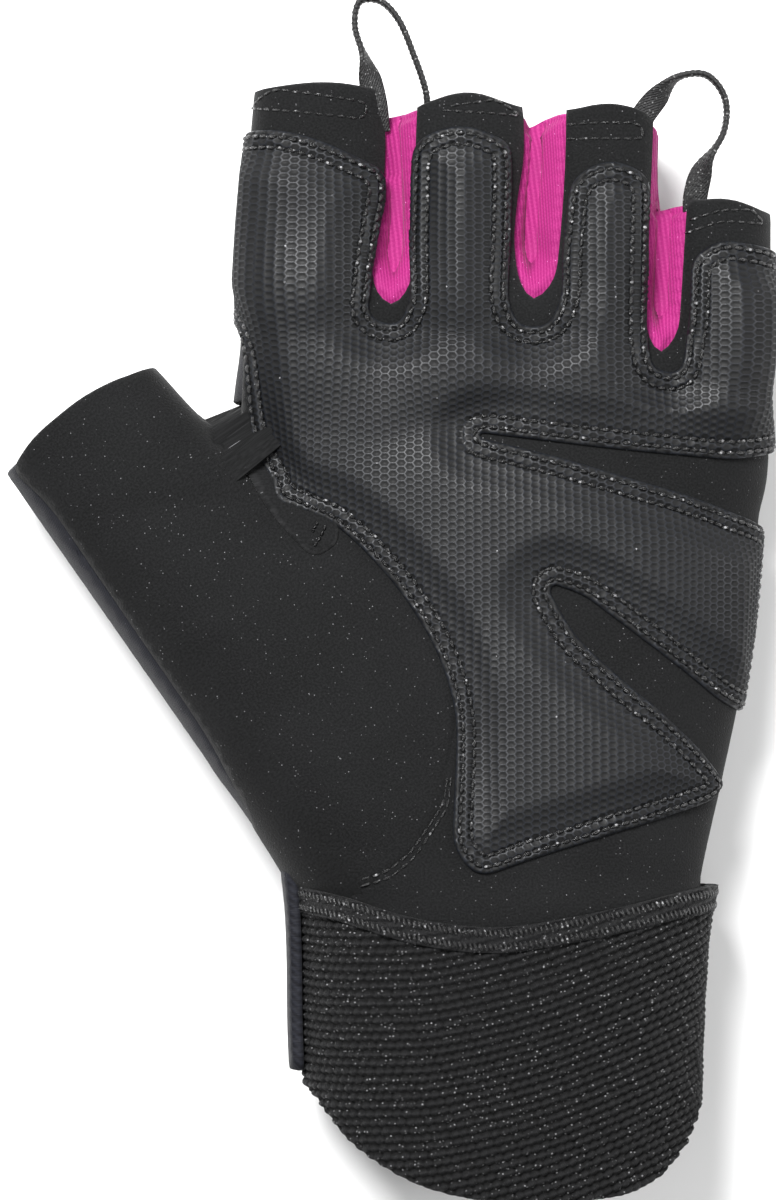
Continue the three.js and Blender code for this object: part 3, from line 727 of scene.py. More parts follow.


# Lint and glints: single light specks scattered over cloth, lint fibres on some cloths and painted glints of
# light on the glossy thread, elastic and webbing
lintAndGlints, given, out = nodeGroup(
    "lintAndGlints",
    {"Place": ("Vector", None), "Scale": ("Float", 1.3), "Share": ("Float", 0.1), "Size": ("Float", 0.16)},
    {"Mask": ("Float", None)},
)
spread = scaled(lintAndGlints, given["Place"], given["Scale"])
spots = node(lintAndGlints, "ShaderNodeTexVoronoi", {"Vector": spread, "Scale": 1.0})
near = maths(lintAndGlints, "LESS_THAN", spots.outputs["Distance"], given["Size"])
chance = node(lintAndGlints, "ShaderNodeSeparateColor", {0: spots.outputs["Color"]}).outputs
few = maths(lintAndGlints, "GREATER_THAN", given["Share"], chance[0])
feed(lintAndGlints, maths(lintAndGlints, "MULTIPLY", maths(lintAndGlints, "MULTIPLY", near, few), chance[1]), out["Mask"])

# Nap: uneven colour of brushed cloth, coarse clouds and fine grain together
nap, given, out = nodeGroup(
    "nap",
    {"Place": ("Vector", None), "Cloud": ("Float", 0.08), "Grain": ("Float", 3.5)},
    {"Cloud": ("Float", None), "Grain": ("Float", None)},
)
feed(nap, ramp(nap, noise(nap, given["Place"], given["Cloud"], 3.0), 0.3, 0.7), out["Cloud"])
feed(nap, ramp(nap, noise(nap, given["Place"], given["Grain"], 2.0), 0.3, 0.7), out["Grain"])

# Ribs: knitted or woven rows, each a string of small loops
ribs, given, out = nodeGroup(
    "ribs",
    {"Place": ("Vector", None), "Row": ("Float", 0.5), "Loop": ("Float", 0.8), "Slant": ("Float", 0.0)},
    {"Height": ("Float", None)},
)
axes = node(ribs, "ShaderNodeSeparateXYZ", {0: given["Place"]}).outputs
slanted = maths(ribs, "MULTIPLY_ADD", axes[1], given["Slant"], axes[0])
rowAt = maths(ribs, "DIVIDE", slanted, given["Row"])
rowWave = maths(ribs, "SINE", maths(ribs, "MULTIPLY", rowAt, 2 * np.pi))
shifted = maths(ribs, "MULTIPLY", maths(ribs, "FLOOR", rowAt), 0.5)
loopAt = maths(ribs, "ADD", maths(ribs, "DIVIDE", axes[1], given["Loop"]), shifted)
loopWave = maths(ribs, "SINE", maths(ribs, "MULTIPLY", loopAt, 2 * np.pi))
both = maths(ribs, "MULTIPLY_ADD", loopWave, 0.35, rowWave)
feed(ribs, ramp(ribs, both, -1.3, 1.3), out["Height"])

# Rub: wear that lightens cloth or leather along its cut edge
rub, given, out = nodeGroup(
    "rub",
    {"Place": ("Vector", None), "Edge": ("Float", 9.0), "Width": ("Float", 0.6)},
    {"Mask": ("Float", None)},
)
close = maths(rub, "SUBTRACT", 1.0, maths(rub, "DIVIDE", given["Edge"], given["Width"]))
patchy = ramp(rub, noise(rub, given["Place"], 0.9, 3.0), 0.35, 0.7)
feed(rub, maths(rub, "MULTIPLY", maths(rub, "MAXIMUM", close, 0.0), patchy), out["Mask"])

# Relief: how far up a pressed or woven pattern a place is, from low to high
relief, given, out = nodeGroup(
    "relief",
    {"Place": ("Vector", None), "Low": ("Float", -0.25), "High": ("Float", 0.0)},
    {"Height": ("Float", None)},
)
step = node(relief, "ShaderNodeSeparateXYZ", {0: given["Place"]}).outputs[2]
feed(relief, ramp(relief, step, given["Low"], given["High"]), out["Height"])


def blend(tree, amount, low, high):
    made = node(tree, "ShaderNodeMix", {"Factor": amount}, data_type="RGBA")
    for socket, colour in ((made.inputs[6], low), (made.inputs[7], high)):
        feed(tree, colour if hasattr(colour, "is_linked") else (*colour, 1), socket)
    return made.outputs[2]


def placed(tree, group, values):
    made = tree.nodes.new("ShaderNodeGroup")
    made.node_tree = group
    for socket, value in values.items():
        feed(tree, value, made.inputs[socket])
    return made.outputs


def fabric(name, settings):
    # one cloth or leather: nap, pattern with painted shade in its low places, lint and painted glints, and
    # edge wear on one shader
    made = bpy.data.materials.new(name)
    made.use_nodes = True
    tree = made.node_tree
    shader = tree.nodes["Principled BSDF"]
    place = node(tree, "ShaderNodeAttribute", attribute_name="flat").outputs["Vector"]
    edge = node(tree, "ShaderNodeAttribute", attribute_name="edge").outputs["Fac"]
    cloth = placed(tree, nap, {"Place": place, "Cloud": settings["cloud"], "Grain": settings["grain"]})
    clouds = maths(tree, "MULTIPLY", cloth["Cloud"], 0.4)
    grainShare = maths(tree, "MULTIPLY_ADD", cloth["Grain"], 0.6, clouds)
    colour = blend(tree, grainShare, settings["dark"], settings["light"])
    height = maths(tree, "MULTIPLY", cloth["Grain"], settings["grainDepth"])
    if "ribs" in settings:
        row, loop, slant, depth = settings["ribs"]
        rib = placed(tree, ribs, {"Place": place, "Row": row, "Loop": loop, "Slant": slant})["Height"]
        # painted shade: the low places between the rows of ribs are darkened
        colour = blend(tree, maths(tree, "SUBTRACT", 1.0, rib), colour, settings["ribPaintedShade"])
        height = maths(tree, "MULTIPLY_ADD", rib, depth, height)
    rough = maths(tree, "MULTIPLY_ADD", cloth["Cloud"], settings["roughSpread"], settings["rough"])
    if "relief" in settings:
        low, high = settings["relief"]
        pressed = placed(tree, relief, {"Place": place, "Low": low, "High": high})["Height"]
        # painted shade: the low places of the pressed or woven relief, and the crease of a fold, are darkened
        colour = blend(tree, pressed, settings["reliefPaintedShade"], colour)
        rough = maths(tree, "MULTIPLY_ADD", maths(tree, "SUBTRACT", 1.0, pressed), 0.25, rough)
    often, share, size = settings["lintAndGlints"]
    specks = placed(tree, lintAndGlints, {"Place": place, "Scale": often, "Share": share, "Size": size})
    # light specks: lint fibres, and on thread, elastic and webbing painted glints of light
    colour = blend(tree, specks["Mask"], colour, settings["lintAndGlintColour"])
    worn = placed(tree, rub, {"Place": place, "Edge": edge, "Width": settings["rub"]})["Mask"]
    colour = blend(tree, maths(tree, "MULTIPLY", worn, 0.5), colour, settings["worn"])
    bump = node(tree, "ShaderNodeBump", {"Height": height, "Distance": 0.0001, "Strength": settings["bump"]})
    feed(tree, colour, shader.inputs["Base Color"])
    feed(tree, rough, shader.inputs["Roughness"])
    feed(tree, bump.outputs["Normal"], shader.inputs["Normal"])
    for socket, value in settings["shader"].items():
        shader.inputs[socket].default_value = value
    return made


looks = {
    "suede": fabric("blackSuede", {
        "dark": (0.0018, 0.0019, 0.002), "light": (0.0088, 0.009, 0.0094), "cloud": 0.05, "grain": 2.6,
        "grainDepth": 1.0, "rough": 0.82, "roughSpread": 0.1, "lintAndGlints": (1.5, 0.3, 0.15),
        "lintAndGlintColour": (0.13, 0.13, 0.135), "rub": 0.6, "worn": (0.03, 0.03, 0.031), "bump": 0.5,
        "shader": {"Sheen Weight": 0.05, "Sheen Roughness": 0.5, "Specular IOR Level": 0.12},
    }),
    # painted shade darkens the sunk dimples of the pressed cells
    "leather": fabric("gripLeather", {
        "dark": (0.004, 0.005, 0.0078), "light": (0.0105, 0.012, 0.0158), "cloud": 0.045, "grain": 6.0,
        "grainDepth": 0.25, "rough": 0.36, "roughSpread": 0.16, "relief": (-0.17, -0.02),
        "reliefPaintedShade": (0.0018, 0.0019, 0.0022), "lintAndGlints": (0.6, 0.05, 0.1), "lintAndGlintColour": (0.25, 0.25, 0.26),
        "rub": 0.5, "worn": (0.025, 0.027, 0.03), "bump": 0.35,
        "shader": {"Specular IOR Level": 0.28, "Coat Weight": 0.02, "Coat Roughness": 0.3},
    }),
    # painted shade between the knitted ribs
    "stretch": fabric("stretchCloth", {
        "dark": (0.006, 0.0065, 0.0095), "light": (0.011, 0.012, 0.018), "cloud": 0.09, "grain": 5.0,
        "grainDepth": 0.4, "rough": 0.75, "roughSpread": 0.1, "ribs": (0.42, 0.5, 0.3, 1.0),
        "ribPaintedShade": (0.003, 0.003, 0.005), "lintAndGlints": (1.2, 0.1, 0.12), "lintAndGlintColour": (0.1, 0.1, 0.12),
        "rub": 0.5, "worn": (0.025, 0.026, 0.033), "bump": 0.6,
        "shader": {"Sheen Weight": 0.06, "Sheen Roughness": 0.4, "Specular IOR Level": 0.2},
    }),
    # painted shade between the knitted ribs and in the crease of each fold
    "knit": fabric("pinkKnit", {
        "dark": (0.24, 0.011, 0.108), "light": (0.37, 0.026, 0.172), "cloud": 0.15, "grain": 5.5,
        "grainDepth": 0.5, "rough": 0.7, "roughSpread": 0.1, "ribs": (0.46, 0.7, 0.06, 1.0),
        "ribPaintedShade": (0.23, 0.004, 0.1), "relief": (-1.2, -0.15), "reliefPaintedShade": (0.02, 0.0005, 0.008),
        "lintAndGlints": (1.6, 0.16, 0.13), "lintAndGlintColour": (0.7, 0.2, 0.48), "rub": 0.5, "worn": (0.5, 0.05, 0.3),
        "bump": 0.6, "shader": {"Sheen Weight": 0.12, "Sheen Roughness": 0.4, "Specular IOR Level": 0.25},
    }),
    # painted shade in the grooves between cords and beads and between the ribs; the specks are painted glints
    "elastic": fabric("wovenElastic", {
        "dark": (0.002, 0.002, 0.0024), "light": (0.0085, 0.0087, 0.0095), "cloud": 0.5, "grain": 2.4,
        "grainDepth": 1.0, "rough": 0.5, "roughSpread": 0.15, "ribs": (0.36, 0.9, 0.55, 1.0),
        "ribPaintedShade": (0.002, 0.002, 0.0023), "relief": (-0.62, -0.08), "reliefPaintedShade": (0.0006, 0.0006, 0.0007),
        "lintAndGlints": (1.45, 0.5, 0.24), "lintAndGlintColour": (0.17, 0.17, 0.175), "rub": 0.7, "worn": (0.03, 0.03, 0.032),
        "bump": 0.9, "shader": {"Sheen Weight": 0.03, "Specular IOR Level": 0.2},
    }),
    # painted shade between the woven ribs; the specks are painted glints
    "webbing": fabric("loopWebbing", {
        "dark": (0.003, 0.003, 0.003), "light": (0.012, 0.012, 0.0125), "cloud": 0.6, "grain": 3.0,
        "grainDepth": 0.7, "rough": 0.5, "roughSpread": 0.15, "ribs": (0.5, 0.62, 0.6, 1.0),
        "ribPaintedShade": (0.0025, 0.0025, 0.0028), "lintAndGlints": (1.9, 0.5, 0.26), "lintAndGlintColour": (0.22, 0.22, 0.22),
        "rub": 0.3, "worn": (0.03, 0.03, 0.03), "bump": 0.9, "shader": {"Specular IOR Level": 0.4},
    }),
    # painted shade in the twist of the thread; the specks are painted glints
    "thread": fabric("sewingThread", {
        "dark": (0.0025, 0.0025, 0.003), "light": (0.01, 0.01, 0.011), "cloud": 0.9, "grain": 5.0,
        "grainDepth": 0.8, "rough": 0.24, "roughSpread": 0.12, "ribs": (0.2, 0.3, 1.1, 0.8),
        "ribPaintedShade": (0.003, 0.003, 0.003), "lintAndGlints": (1.3, 0.42, 0.3), "lintAndGlintColour": (0.34, 0.34, 0.35),
        "rub": 0.3, "worn": (0.02, 0.02, 0.02), "bump": 0.8, "shader": {"Specular IOR Level": 0.8},
    }),
}
print("made", len(looks), "cloths and leathers")

# Fingertip hems and finger slots
suede = {"wall": 1.1, "step": 1.6}
fingerTops = [
    [(-0.56, 1, 0), (-0.468, 1.004, 0.08), (-0.33, 1.0105, 0.1), (-0.215, 1.002, 0.075), (-0.212, 0.975, 0)],
    [(-0.162, 0.989, 0.03), (-0.07, 1.003, 0.08), (0.022, 0.988, 0.03)],
    [(0.108, 0.983, 0.03), (0.194, 0.992, 0.1), (0.278, 0.982, 0.03)],
    [(0.335, 0.902, 0.03), (0.417, 0.906, 0.08), (0.5, 0.892, 0.03), (0.56, 0.886, 0)],
]


def slotCorners(gap, widen=0.0, top=None):
    rows = gap["rows"]
    ends = [i for i in range(len(rows["along"])) if top is None or rows["along"][i] < top]
    right = [(rows["crease"][i] + rows["openRight"][i] + widen, rows["along"][i], 0.03) for i in ends]
    left = [(rows["crease"][i] - rows["openLeft"][i] - widen, rows["along"][i], 0.03) for i in ends[::-1]]
    foot = [(rows["crease"][0], gap["foot"] - widen * width / length, 0.03)]
    return foot + right + left


palmSide = [
    (-0.6, 0.834, 0), (-0.51, 0.826, 0.043), (-0.49, 0.76, 0.065), (-0.5, 0.7, 0.03),
    (-0.5, 0.675, 0.02), (-0.45, 0.65, 0.02), (-0.42, 0.642, 0.022), (-0.33, 0.57, 0.06),
    (-0.2, 0.45, 0.1), (-0.26, 0.3, 0.06), (-0.36, 0.232, 0),
]
tops = [corner for top in fingerTops for corner in top]
outerSide = [(0.56, 0.232, 0), (0.56, 0.885, 0)]
palmOutline = outerSide + tops[::-1] + palmSide
seam = {"palm": 5.5, "back": -4.6}
flare = {"from": 0.292, "to": 0.262, "wall": 1.95}


def flared(lay, height):
    # cloth at a height, which rises to the inside of the wrap where it is sewn to it
    def heightAt(flat, far, value=None):
        points = lay.place(flat, np.zeros(len(flat)))
        share = smoothStep(-points[:, 1] / length, -flare["from"], -flare["to"])
        rise = np.clip(-wrapField(points) - flare["wall"], -1.5, 7)
        return height + share * np.where(share > 0, rise - height - 0.1, 0)

    return heightAt


def steady(height):
    return lambda flat, far=None, value=None: np.full(len(flat), float(height))


def addPanel(name, lay, cut, height, wall, look, cadNode):
    # a panel of even thickness, its lower end sewn to the inside of the wrap
    top = flared(lay, height)
    under = lambda flat, far: top(flat, far) - wall
    cuts[name] = ([cut],)
    addPiece(name, sheetMesh(lay, cut, top, under), looks[look], look, cadNode)


def sideLimit(lay, flat, reach, left=True):
    # keeps a cut piece within so many mm past the sides of the form
    low, high, _, radius = (read(flat[:, 1]) for read in lay.core)
    bend = (np.pi / 2 - 1) * radius
    flat = flat.copy()
    flat[:, 0] = np.minimum(flat[:, 0], high + bend + reach)
    if left:
        flat[:, 0] = np.maximum(flat[:, 0], low - bend - reach)
    return flat


palmFlat = sideLimit(handLay, resample(handLay.flatten(rounded(palmOutline)), 1.2), seam["palm"])
slotFlats = [handLay.flatten(rounded(slotCorners(gap))) for gap in gaps]
cut = cutSheet(palmFlat, slotFlats, suede["step"])
addPanel("palm_suede", handLay, cut, 0, suede["wall"], "suede", "palm_panel")

# Back of the hand
back = {"wall": 1.0, "step": 2.4, "height": -0.1, "stop": 0.4}
backSide = [
    (-0.6, 0.834, 0), (-0.6, 0.64, 0), (-0.5, 0.66, 0.03), (-0.4, 0.58, 0.06), (-0.31, 0.45, 0.1),
    (-0.3, 0.232, 0),
]
backFlat = resample(backLay.flatten(rounded(outerSide + tops[::-1] + backSide)), 1.5)
backFlat = sideLimit(backLay, backFlat, seam["back"], left=False)
backSlots = [backLay.flatten(rounded(slotCorners(gap))) for gap in gaps]
# beside the index finger the back comes round to the front, up to the edge of the grip
strip = table("along turn", [(0.722, 17), (0.735, 16), (0.76, 11), (0.815, 6), (0.845, seam["back"])])
left, _, _, radius = (read(backFlat[:, 1]) for read in backLay.core)
sideEdge = left - (np.pi / 2 - 1) * radius
along = backFlat[:, 1] / length
isSide = (backFlat[:, 0] < sideEdge + 8) & (along > strip["along"][0])
backFlat[isSide, 0] = (sideEdge - np.interp(along, strip["along"], strip["turn"]))[isSide]
# lower down it stops under the hand, where the thumb begins
stop = left + back["stop"] * radius
isLow = (backFlat[:, 0] < stop) & (along <= strip["along"][0])
backFlat[isLow, 0] = stop[isLow]
cut = cutSheet(resample(backFlat, 2.5), backSlots, back["step"])
addPanel("back_stretch", backLay, cut, back["height"], back["wall"], "stretch", "back_panel")

# Thumb: its suede front, then its stretch back
thumb = {
    "wall": 1.1,
    "step": 1.7,
    "backWall": 0.95,
    "backStep": 2.2,
    "height": 0.05,
    "backHeight": -0.2,
    "reach": 9.6,  # how far the back comes round the outer side, with a slight wave
    "wave": 0.4,
}
thumbTip = [(-0.883, 0.688, 0.05), (-0.79, 0.725, 0.1), (-0.715, 0.744, 0.05), (-0.655, 0.752, 0)]
thumbArc = [
    (-0.3, 0.62, 0.109), (-0.2, 0.575, 0.109), (-0.12, 0.52, 0.109), (-0.08, 0.45, 0.109),
    (-0.122, 0.346, 0.065), (-0.174, 0.309, 0.087), (-0.252, 0.286, 0.054), (-0.3, 0.232, 0),
]
thumbSeam = [
    (-0.42, 0.24, 0), (-0.4655, 0.332, 0.05), (-0.552, 0.415, 0.1), (-0.701, 0.519, 0.1),
    (-0.852, 0.626, 0.05),
]
thumbOutline = [(-0.926, 0.659, 0.02), *thumbTip, (-0.437, 0.641, 0), *thumbArc, *thumbSeam]
thumbFlat = thumbLay.flatten(rounded(thumbOutline))


def withInnerSide(line, side):
    # lets a flat outline run down the inner side of the thumb along given places
    first = np.argmax((line[:, 0] > 12.5) & (line[:, 1] > 52))
    last = first + np.argmax(line[first:, 1] < side[-1][1])
    return np.concatenate([line[:first], side, line[last:]])


innerSide = [(25.4, 59.4), (24.2, 52), (21.4, 46), (19.2, 42), (18.4, 38.5), (18.4, 33), (20.5, 26)]
thumbFlat = withInnerSide(thumbFlat, innerSide)
cut = cutSheet(resample(thumbFlat, 1.2), (), thumb["step"])
addPanel("thumb_suede", thumbLay, cut, thumb["height"], thumb["wall"], "suede", "thumb_panel")

# from its seam on the outer side, under the thumb, to the seam on the inner side
thumbRoot = [(-0.4, 0.58, 0), (-0.31, 0.45, 0.1), (-0.3, 0.232, 0), (-0.5, 0.24, 0)]
backEdge = thumbBackLay.flatten(rounded([(-0.94, 0.655, 0), *thumbTip, *thumbRoot]))
innerBack = [(17.6, 60.2), (16.4, 52), (15.6, 46), (17, 40), (22, 36), (24, 32), (24, 26)]
backEdge = withInnerSide(backEdge, innerBack)
backEdge = resample(backEdge, 1.5)
left, right, _, radius = (read(backEdge[:, 1]) for read in thumbBackLay.core)
bend = (np.pi / 2 - 1) * radius
outer = backEdge[:, 0] < left - bend + 0.4
wave = thumb["wave"] * np.sin(backEdge[:, 1] / 9)
backEdge[outer, 0] = (left - bend - thumb["reach"] - wave)[outer]
cut = cutSheet(backEdge, (), thumb["backStep"])
sizes = thumb["backHeight"], thumb["backWall"]
addPanel("thumb_stretch", thumbBackLay, cut, *sizes, "stretch", "thumb_back_panel")

# Knitted sides of the fingers: a front and a back face, and the two walls that meet between them
gusset = {
    "tuck": 0.014,
    "sunk": -0.35,
    "under": -1.25,
    "wall": 0.7,
    "step": 0.5,
    "fold": 1.4,
    "inside": -2.3,  # where the two walls between the faces begin
    "half": 0.45,
    "ranks": 7,
    "columns": 14,
}
gussetNames = ["index_middle", "middle_ring", "ring_little"]
gussetTops = [
    [(-0.165, 0.982, 0), (-0.178, 0.985, 0.006), (-0.213, 0.976, 0)],
    [
        (0.107, 0.982, 0), (0.084, 0.981, 0.01), (0.064, 0.976, 0.006), (0.054, 0.969, 0.003),
        (0.049, 0.978, 0.006), (0.034, 0.985, 0),
    ],
    [
        (0.333, 0.901, 0), (0.308, 0.898, 0.006), (0.297, 0.893, 0.003), (0.297, 0.967, 0.006),
        (0.286, 0.98, 0),
    ],
]
for gap, name, peak, readCrease in zip(gaps, gussetNames, gussetTops, readCreases):
    corners = slotCorners(gap, gusset["tuck"], 0.95)
    (right, rightTop, _), (left, leftTop, _) = peak[0], peak[-1]
    creaseTop = min(corner[1] for corner in peak)
    peak = [(right + gusset["tuck"], rightTop, 0), *peak[1:-1], (left - gusset["tuck"], leftTop, 0)]
    split = 1 + sum(gap["rows"]["along"] < 0.95)
    rightSide = [corner for corner in corners[:split] if corner[1] < rightTop - 0.02]
    leftSide = [corner for corner in corners[split:] if corner[1] < leftTop - 0.02]
    outline = rounded(rightSide + peak + leftSide)

    def knitTop(flat, far, value):
        pucker = 0.1 * np.sin(flat[:, 1] * 3.1) * smoothStep(far, 0.8, 1.6) * smoothStep(far, 3.2, 2.0)
        rise = (gusset["sunk"] - gusset["under"]) * smoothStep(far, 0.9, 2.2)
        return gusset["under"] + rise + pucker + value

    faces, knitCuts = [], []
    for lay in (handLay, backLay):
        cut = cutSheet(lay.flatten(outline), (), gusset["step"])
        v = cut["flat"][:, 1]
        creaseAt = lay.flatten(np.stack([readCrease(v / length) * width, v], -1))[:, 0]
        offset = cut["flat"][:, 0] - creaseAt
        deep = smoothStep(v / length, gap["foot"] + 0.015, gap["foot"] + 0.06)
        # the fold sinks the knit along the crease; its depth also sets painted shade there in the knit's
        # colour
        cut["value"] = -gusset["fold"] * np.exp(-((offset / 0.6) ** 2)) * deep
        knitCuts.append(cut)
        knitUnder = lambda flat, far: np.full(len(flat), gusset["under"] - gusset["wall"])
        faces.append(sheetMesh(lay, cut, knitTop, knitUnder, 3.0))
    count, ranks = gusset["columns"], gusset["ranks"]
    ys = np.linspace(gap["foot"] + 0.03, creaseTop, count) * length
    xs = readCrease(ys / length) * width
    wall = []
    for side in (-gusset["half"], gusset["half"]):
        line = np.stack([xs + side, ys], -1)
        ends = [lay.place(lay.flatten(line), gusset["inside"]) for lay in (handLay, backLay)]
        share = np.linspace(0, 1, ranks)[:, None, None]
        skin = ends[0][None] * (1 - share) + ends[1][None] * share
        skin[..., 0] = xs + side
        wall.append(skin)
    points = np.concatenate([skin.reshape(-1, 3) for skin in wall])
    half, last = ranks * count, (ranks - 1) * count
    quads = []
    for a in [r * count + c for r in range(ranks - 1) for c in range(count - 1)]:
        quads.append((a, a + count, a + count + 1, a + 1))
        quads.append((half + a, half + a + 1, half + a + count + 1, half + a + count))
    border = [(r, r + count) for r in range(0, last, count)]
    border += [(r + 2 * count - 1, r + count - 1) for r in range(0, last, count)]
    border += [(c + 1, c) for c in range(count - 1)]
    border += [(last + c, last + c + 1) for c in range(count - 1)]
    quads += [(b, a, a + half, b + half) for a, b in border]
    faces.append((points, quads, onCloth(points[:, [1, 2]])))
    addPiece("gusset_knit_" + name, joined(faces), looks["knit"], "knit", "gusset_" + name)
    deepAt = np.abs(ends[0][:, 2] - ends[1][:, 2])
    cuts["gusset_knit_" + name] = (knitCuts, 2 * deepAt.max(), 2 * np.ptp(ys) * deepAt.mean())

# Padded grip leather, pressed with small cells
grip = {
    "wall": 0.9,
    "pad": 1.9,
    "rows": (1.1, 3.0),  # how far in from the edge the two rows of stitches run
    "channel": 0.55,
    "cell": (1.41, 1.15),
    "dimple": 0.27,
    "bump": 0.15,
    "stitch": 1.75,
}
gripTips = [
    (-0.56, 0.966, 0), (-0.421, 0.966, 0.098), (-0.346, 0.956, 0.098), (-0.23, 0.93, 0.027),
    (-0.224, 0.91, 0.022), (-0.247, 0.852, 0.065), (-0.259, 0.796, 0.043), (-0.198, 0.788, 0.043),
    (-0.176, 0.812, 0.022), (-0.176, 0.861, 0.022), (-0.172, 0.956, 0.038), (-0.082, 0.972, 0.087),
    (0.007, 0.954, 0.033), (0.01, 0.929, 0.033), (0.002, 0.811, 0.022), (0.024, 0.788, 0.043),
    (0.082, 0.788, 0.043), (0.106, 0.816, 0.022), (0.108, 0.861, 0.022), (0.122, 0.922, 0.054),
    (0.193, 0.94, 0.087), (0.268, 0.925, 0.033), (0.264, 0.861, 0.033), (0.26, 0.787, 0.033),
    (0.27, 0.75, 0.043), (0.328, 0.745, 0.043), (0.345, 0.796, 0.033), (0.348, 0.85, 0.043),
    (0.4, 0.867, 0.087), (0.51, 0.858, 0.02),
]
upperSlit = [
    (0.51, 0.676, 0.02), (0.43, 0.668, 0.109), (0.228, 0.676, 0.109), (-0.05, 0.692, 0.01),
    (-0.05, 0.687, 0.01), (0.09, 0.671, 0.109), (0.228, 0.651, 0.109), (0.353, 0.634, 0.109),
    (0.485, 0.608, 0.02),
]
lowerSlit = [
    (0.45, 0.438, 0.02), (0.4, 0.45, 0.087), (0.327, 0.479, 0.109), (0.142, 0.547, 0.087),
    (0.085, 0.556, 0.01), (0.08, 0.549, 0.01), (0.127, 0.508, 0.087), (0.207, 0.473, 0.109),
    (0.353, 0.411, 0.087), (0.404, 0.378, 0.027),
]
heelEdge = [
    (0.385, 0.361, 0.033), (0.166, 0.327, 0.109), (0.056, 0.311, 0.065), (-0.054, 0.292, 0.065),
    (-0.101, 0.32, 0.054),
]
gripArc = [
    (-0.09, 0.44, 0.109), (-0.13, 0.5, 0.109), (-0.205, 0.556, 0.06), (-0.282, 0.5955, 0.05),
    (-0.33, 0.614, 0.03), (-0.4206, 0.628, 0.01),
]
indexSide = [
    (-0.4347, 0.637, 0.008), (-0.4347, 0.647, 0.02), (-0.463, 0.672, 0.04), (-0.4785, 0.71, 0.04),
    (-0.481, 0.752, 0.04), (-0.489, 0.786, 0.03), (-0.56, 0.84, 0.03),
]
gripCorners = gripTips + upperSlit + lowerSlit + heelEdge + gripArc + indexSide
gripOutline = resample(handLay.flatten(rounded(gripCorners)), 0.8)
gripOutline = sideLimit(handLay, gripOutline, 3.2)


def honeycomb(low, high, cell):
    # places, links and heights of a field of six-sided cells with points to the left and right
    point, half = cell[0] / 1.5, cell[1] / 2
    columns, rows = int((high[0] - low[0]) / cell[0]) + 2, int((high[1] - low[1]) / cell[1]) + 2
    i, j = np.meshgrid(np.arange(columns), np.arange(rows), indexing="ij")
    centres = np.stack([low[0] + i * cell[0], low[1] + (j + (i % 2) / 2) * cell[1]], -1).reshape(-1, 2)
    turns = np.radians(np.arange(0, 360, 60))
    hexagon = np.stack([np.cos(turns) * point, np.sin(turns) / np.sin(np.pi / 3) * half], -1)
    corners = (centres[:, None] + hexagon).reshape(-1, 2)
    keys = np.round(corners / 0.02).astype(int)
    _, first, names = np.unique(keys, axis=0, return_index=True, return_inverse=True)
    net = names.reshape(-1, 6)
    links = np.stack([net, np.roll(net, -1, 1)], -1).reshape(-1, 2)
    links = np.unique(np.sort(links, 1), axis=0)
    inner = (centres[:, None] + hexagon * 0.6).reshape(-1, 2)
    points = np.concatenate([corners[first], inner, centres])
    sizes = [(len(first), 0), (len(inner), -grip["dimple"]), (len(centres), -grip["dimple"] + grip["bump"])]
    return points, links, np.concatenate([np.full(count, value) for count, value in sizes])


box = gripOutline.min(0), gripOutline.max(0)
# the cell heights also set the painted shade in the dimples
cut = cutSheet(gripOutline, (), 0.7, honeycomb(*box, grip["cell"]), ())


def channelAt(far):
    rows = sum(np.exp(-(((far - row) / 0.42) ** 2)) for row in grip["rows"])
    return grip["channel"] * rows


def padAt(flat, far):
    low, high, _, _ = (read(flat[:, 1]) for read in handLay.core)
    inside = smoothStep(flat[:, 0], low - 8, low + 3) * smoothStep(-flat[:, 0], -high - 8, -high + 3)
    return grip["pad"] * smoothStep(far, 3.2, 9.5) * inside + 0.2 * smoothStep(far, 0.1, 1.0)


def gripTop(flat, far, value):
    return 0.15 + grip["wall"] + padAt(flat, far) + value * smoothStep(far, 0.2, 0.7) - channelAt(far)


gripMesh = sheetMesh(handLay, cut, gripTop, steady(0.08))
gripPiece = addPiece("grip_leather", gripMesh, looks["leather"], "leather", "palm_overlay")


def insetLines(outline, inset, step):
    # rows of stitches at a distance in from an outline, broken where they would cross
    line = resample(outline, 0.5)
    ahead = np.roll(line, -2, 0) - np.roll(line, 2, 0)
    inward = np.stack([-ahead[:, 1], ahead[:, 0]], -1)
    inward /= np.linalg.norm(inward, axis=1, keepdims=True) + 1e-9
    area = (line[:, 0] * np.roll(line[:, 1], -1) - np.roll(line[:, 0], -1) * line[:, 1]).sum()
    row = line + inward * inset * np.sign(area)
    good = lineDistance(row, line) > inset * 0.94
    runs, current = [], []
    for place, fine in zip(row, good):
        if fine and (not current or np.linalg.norm(place - current[-1]) < 2.5):
            current.append(place)
        elif fine:
            runs.append(current)
            current = [place]
    runs.append(current)
    return [resample(np.array(run), step, False) for run in runs if len(run) > 8]


gripRows = [line for row in grip["rows"] for line in insetLines(gripOutline, row, grip["stitch"])]
seamHeight = lambda flat: 0.15 + grip["wall"] + 0.2 - grip["channel"] * 0.8 + np.zeros(len(flat))
gripThread = stitches(handLay, gripRows, seamHeight, share=0.86, thick=0.36, lift=0.3)
addPiece("grip_stitches", gripThread, looks["thread"], "leather")

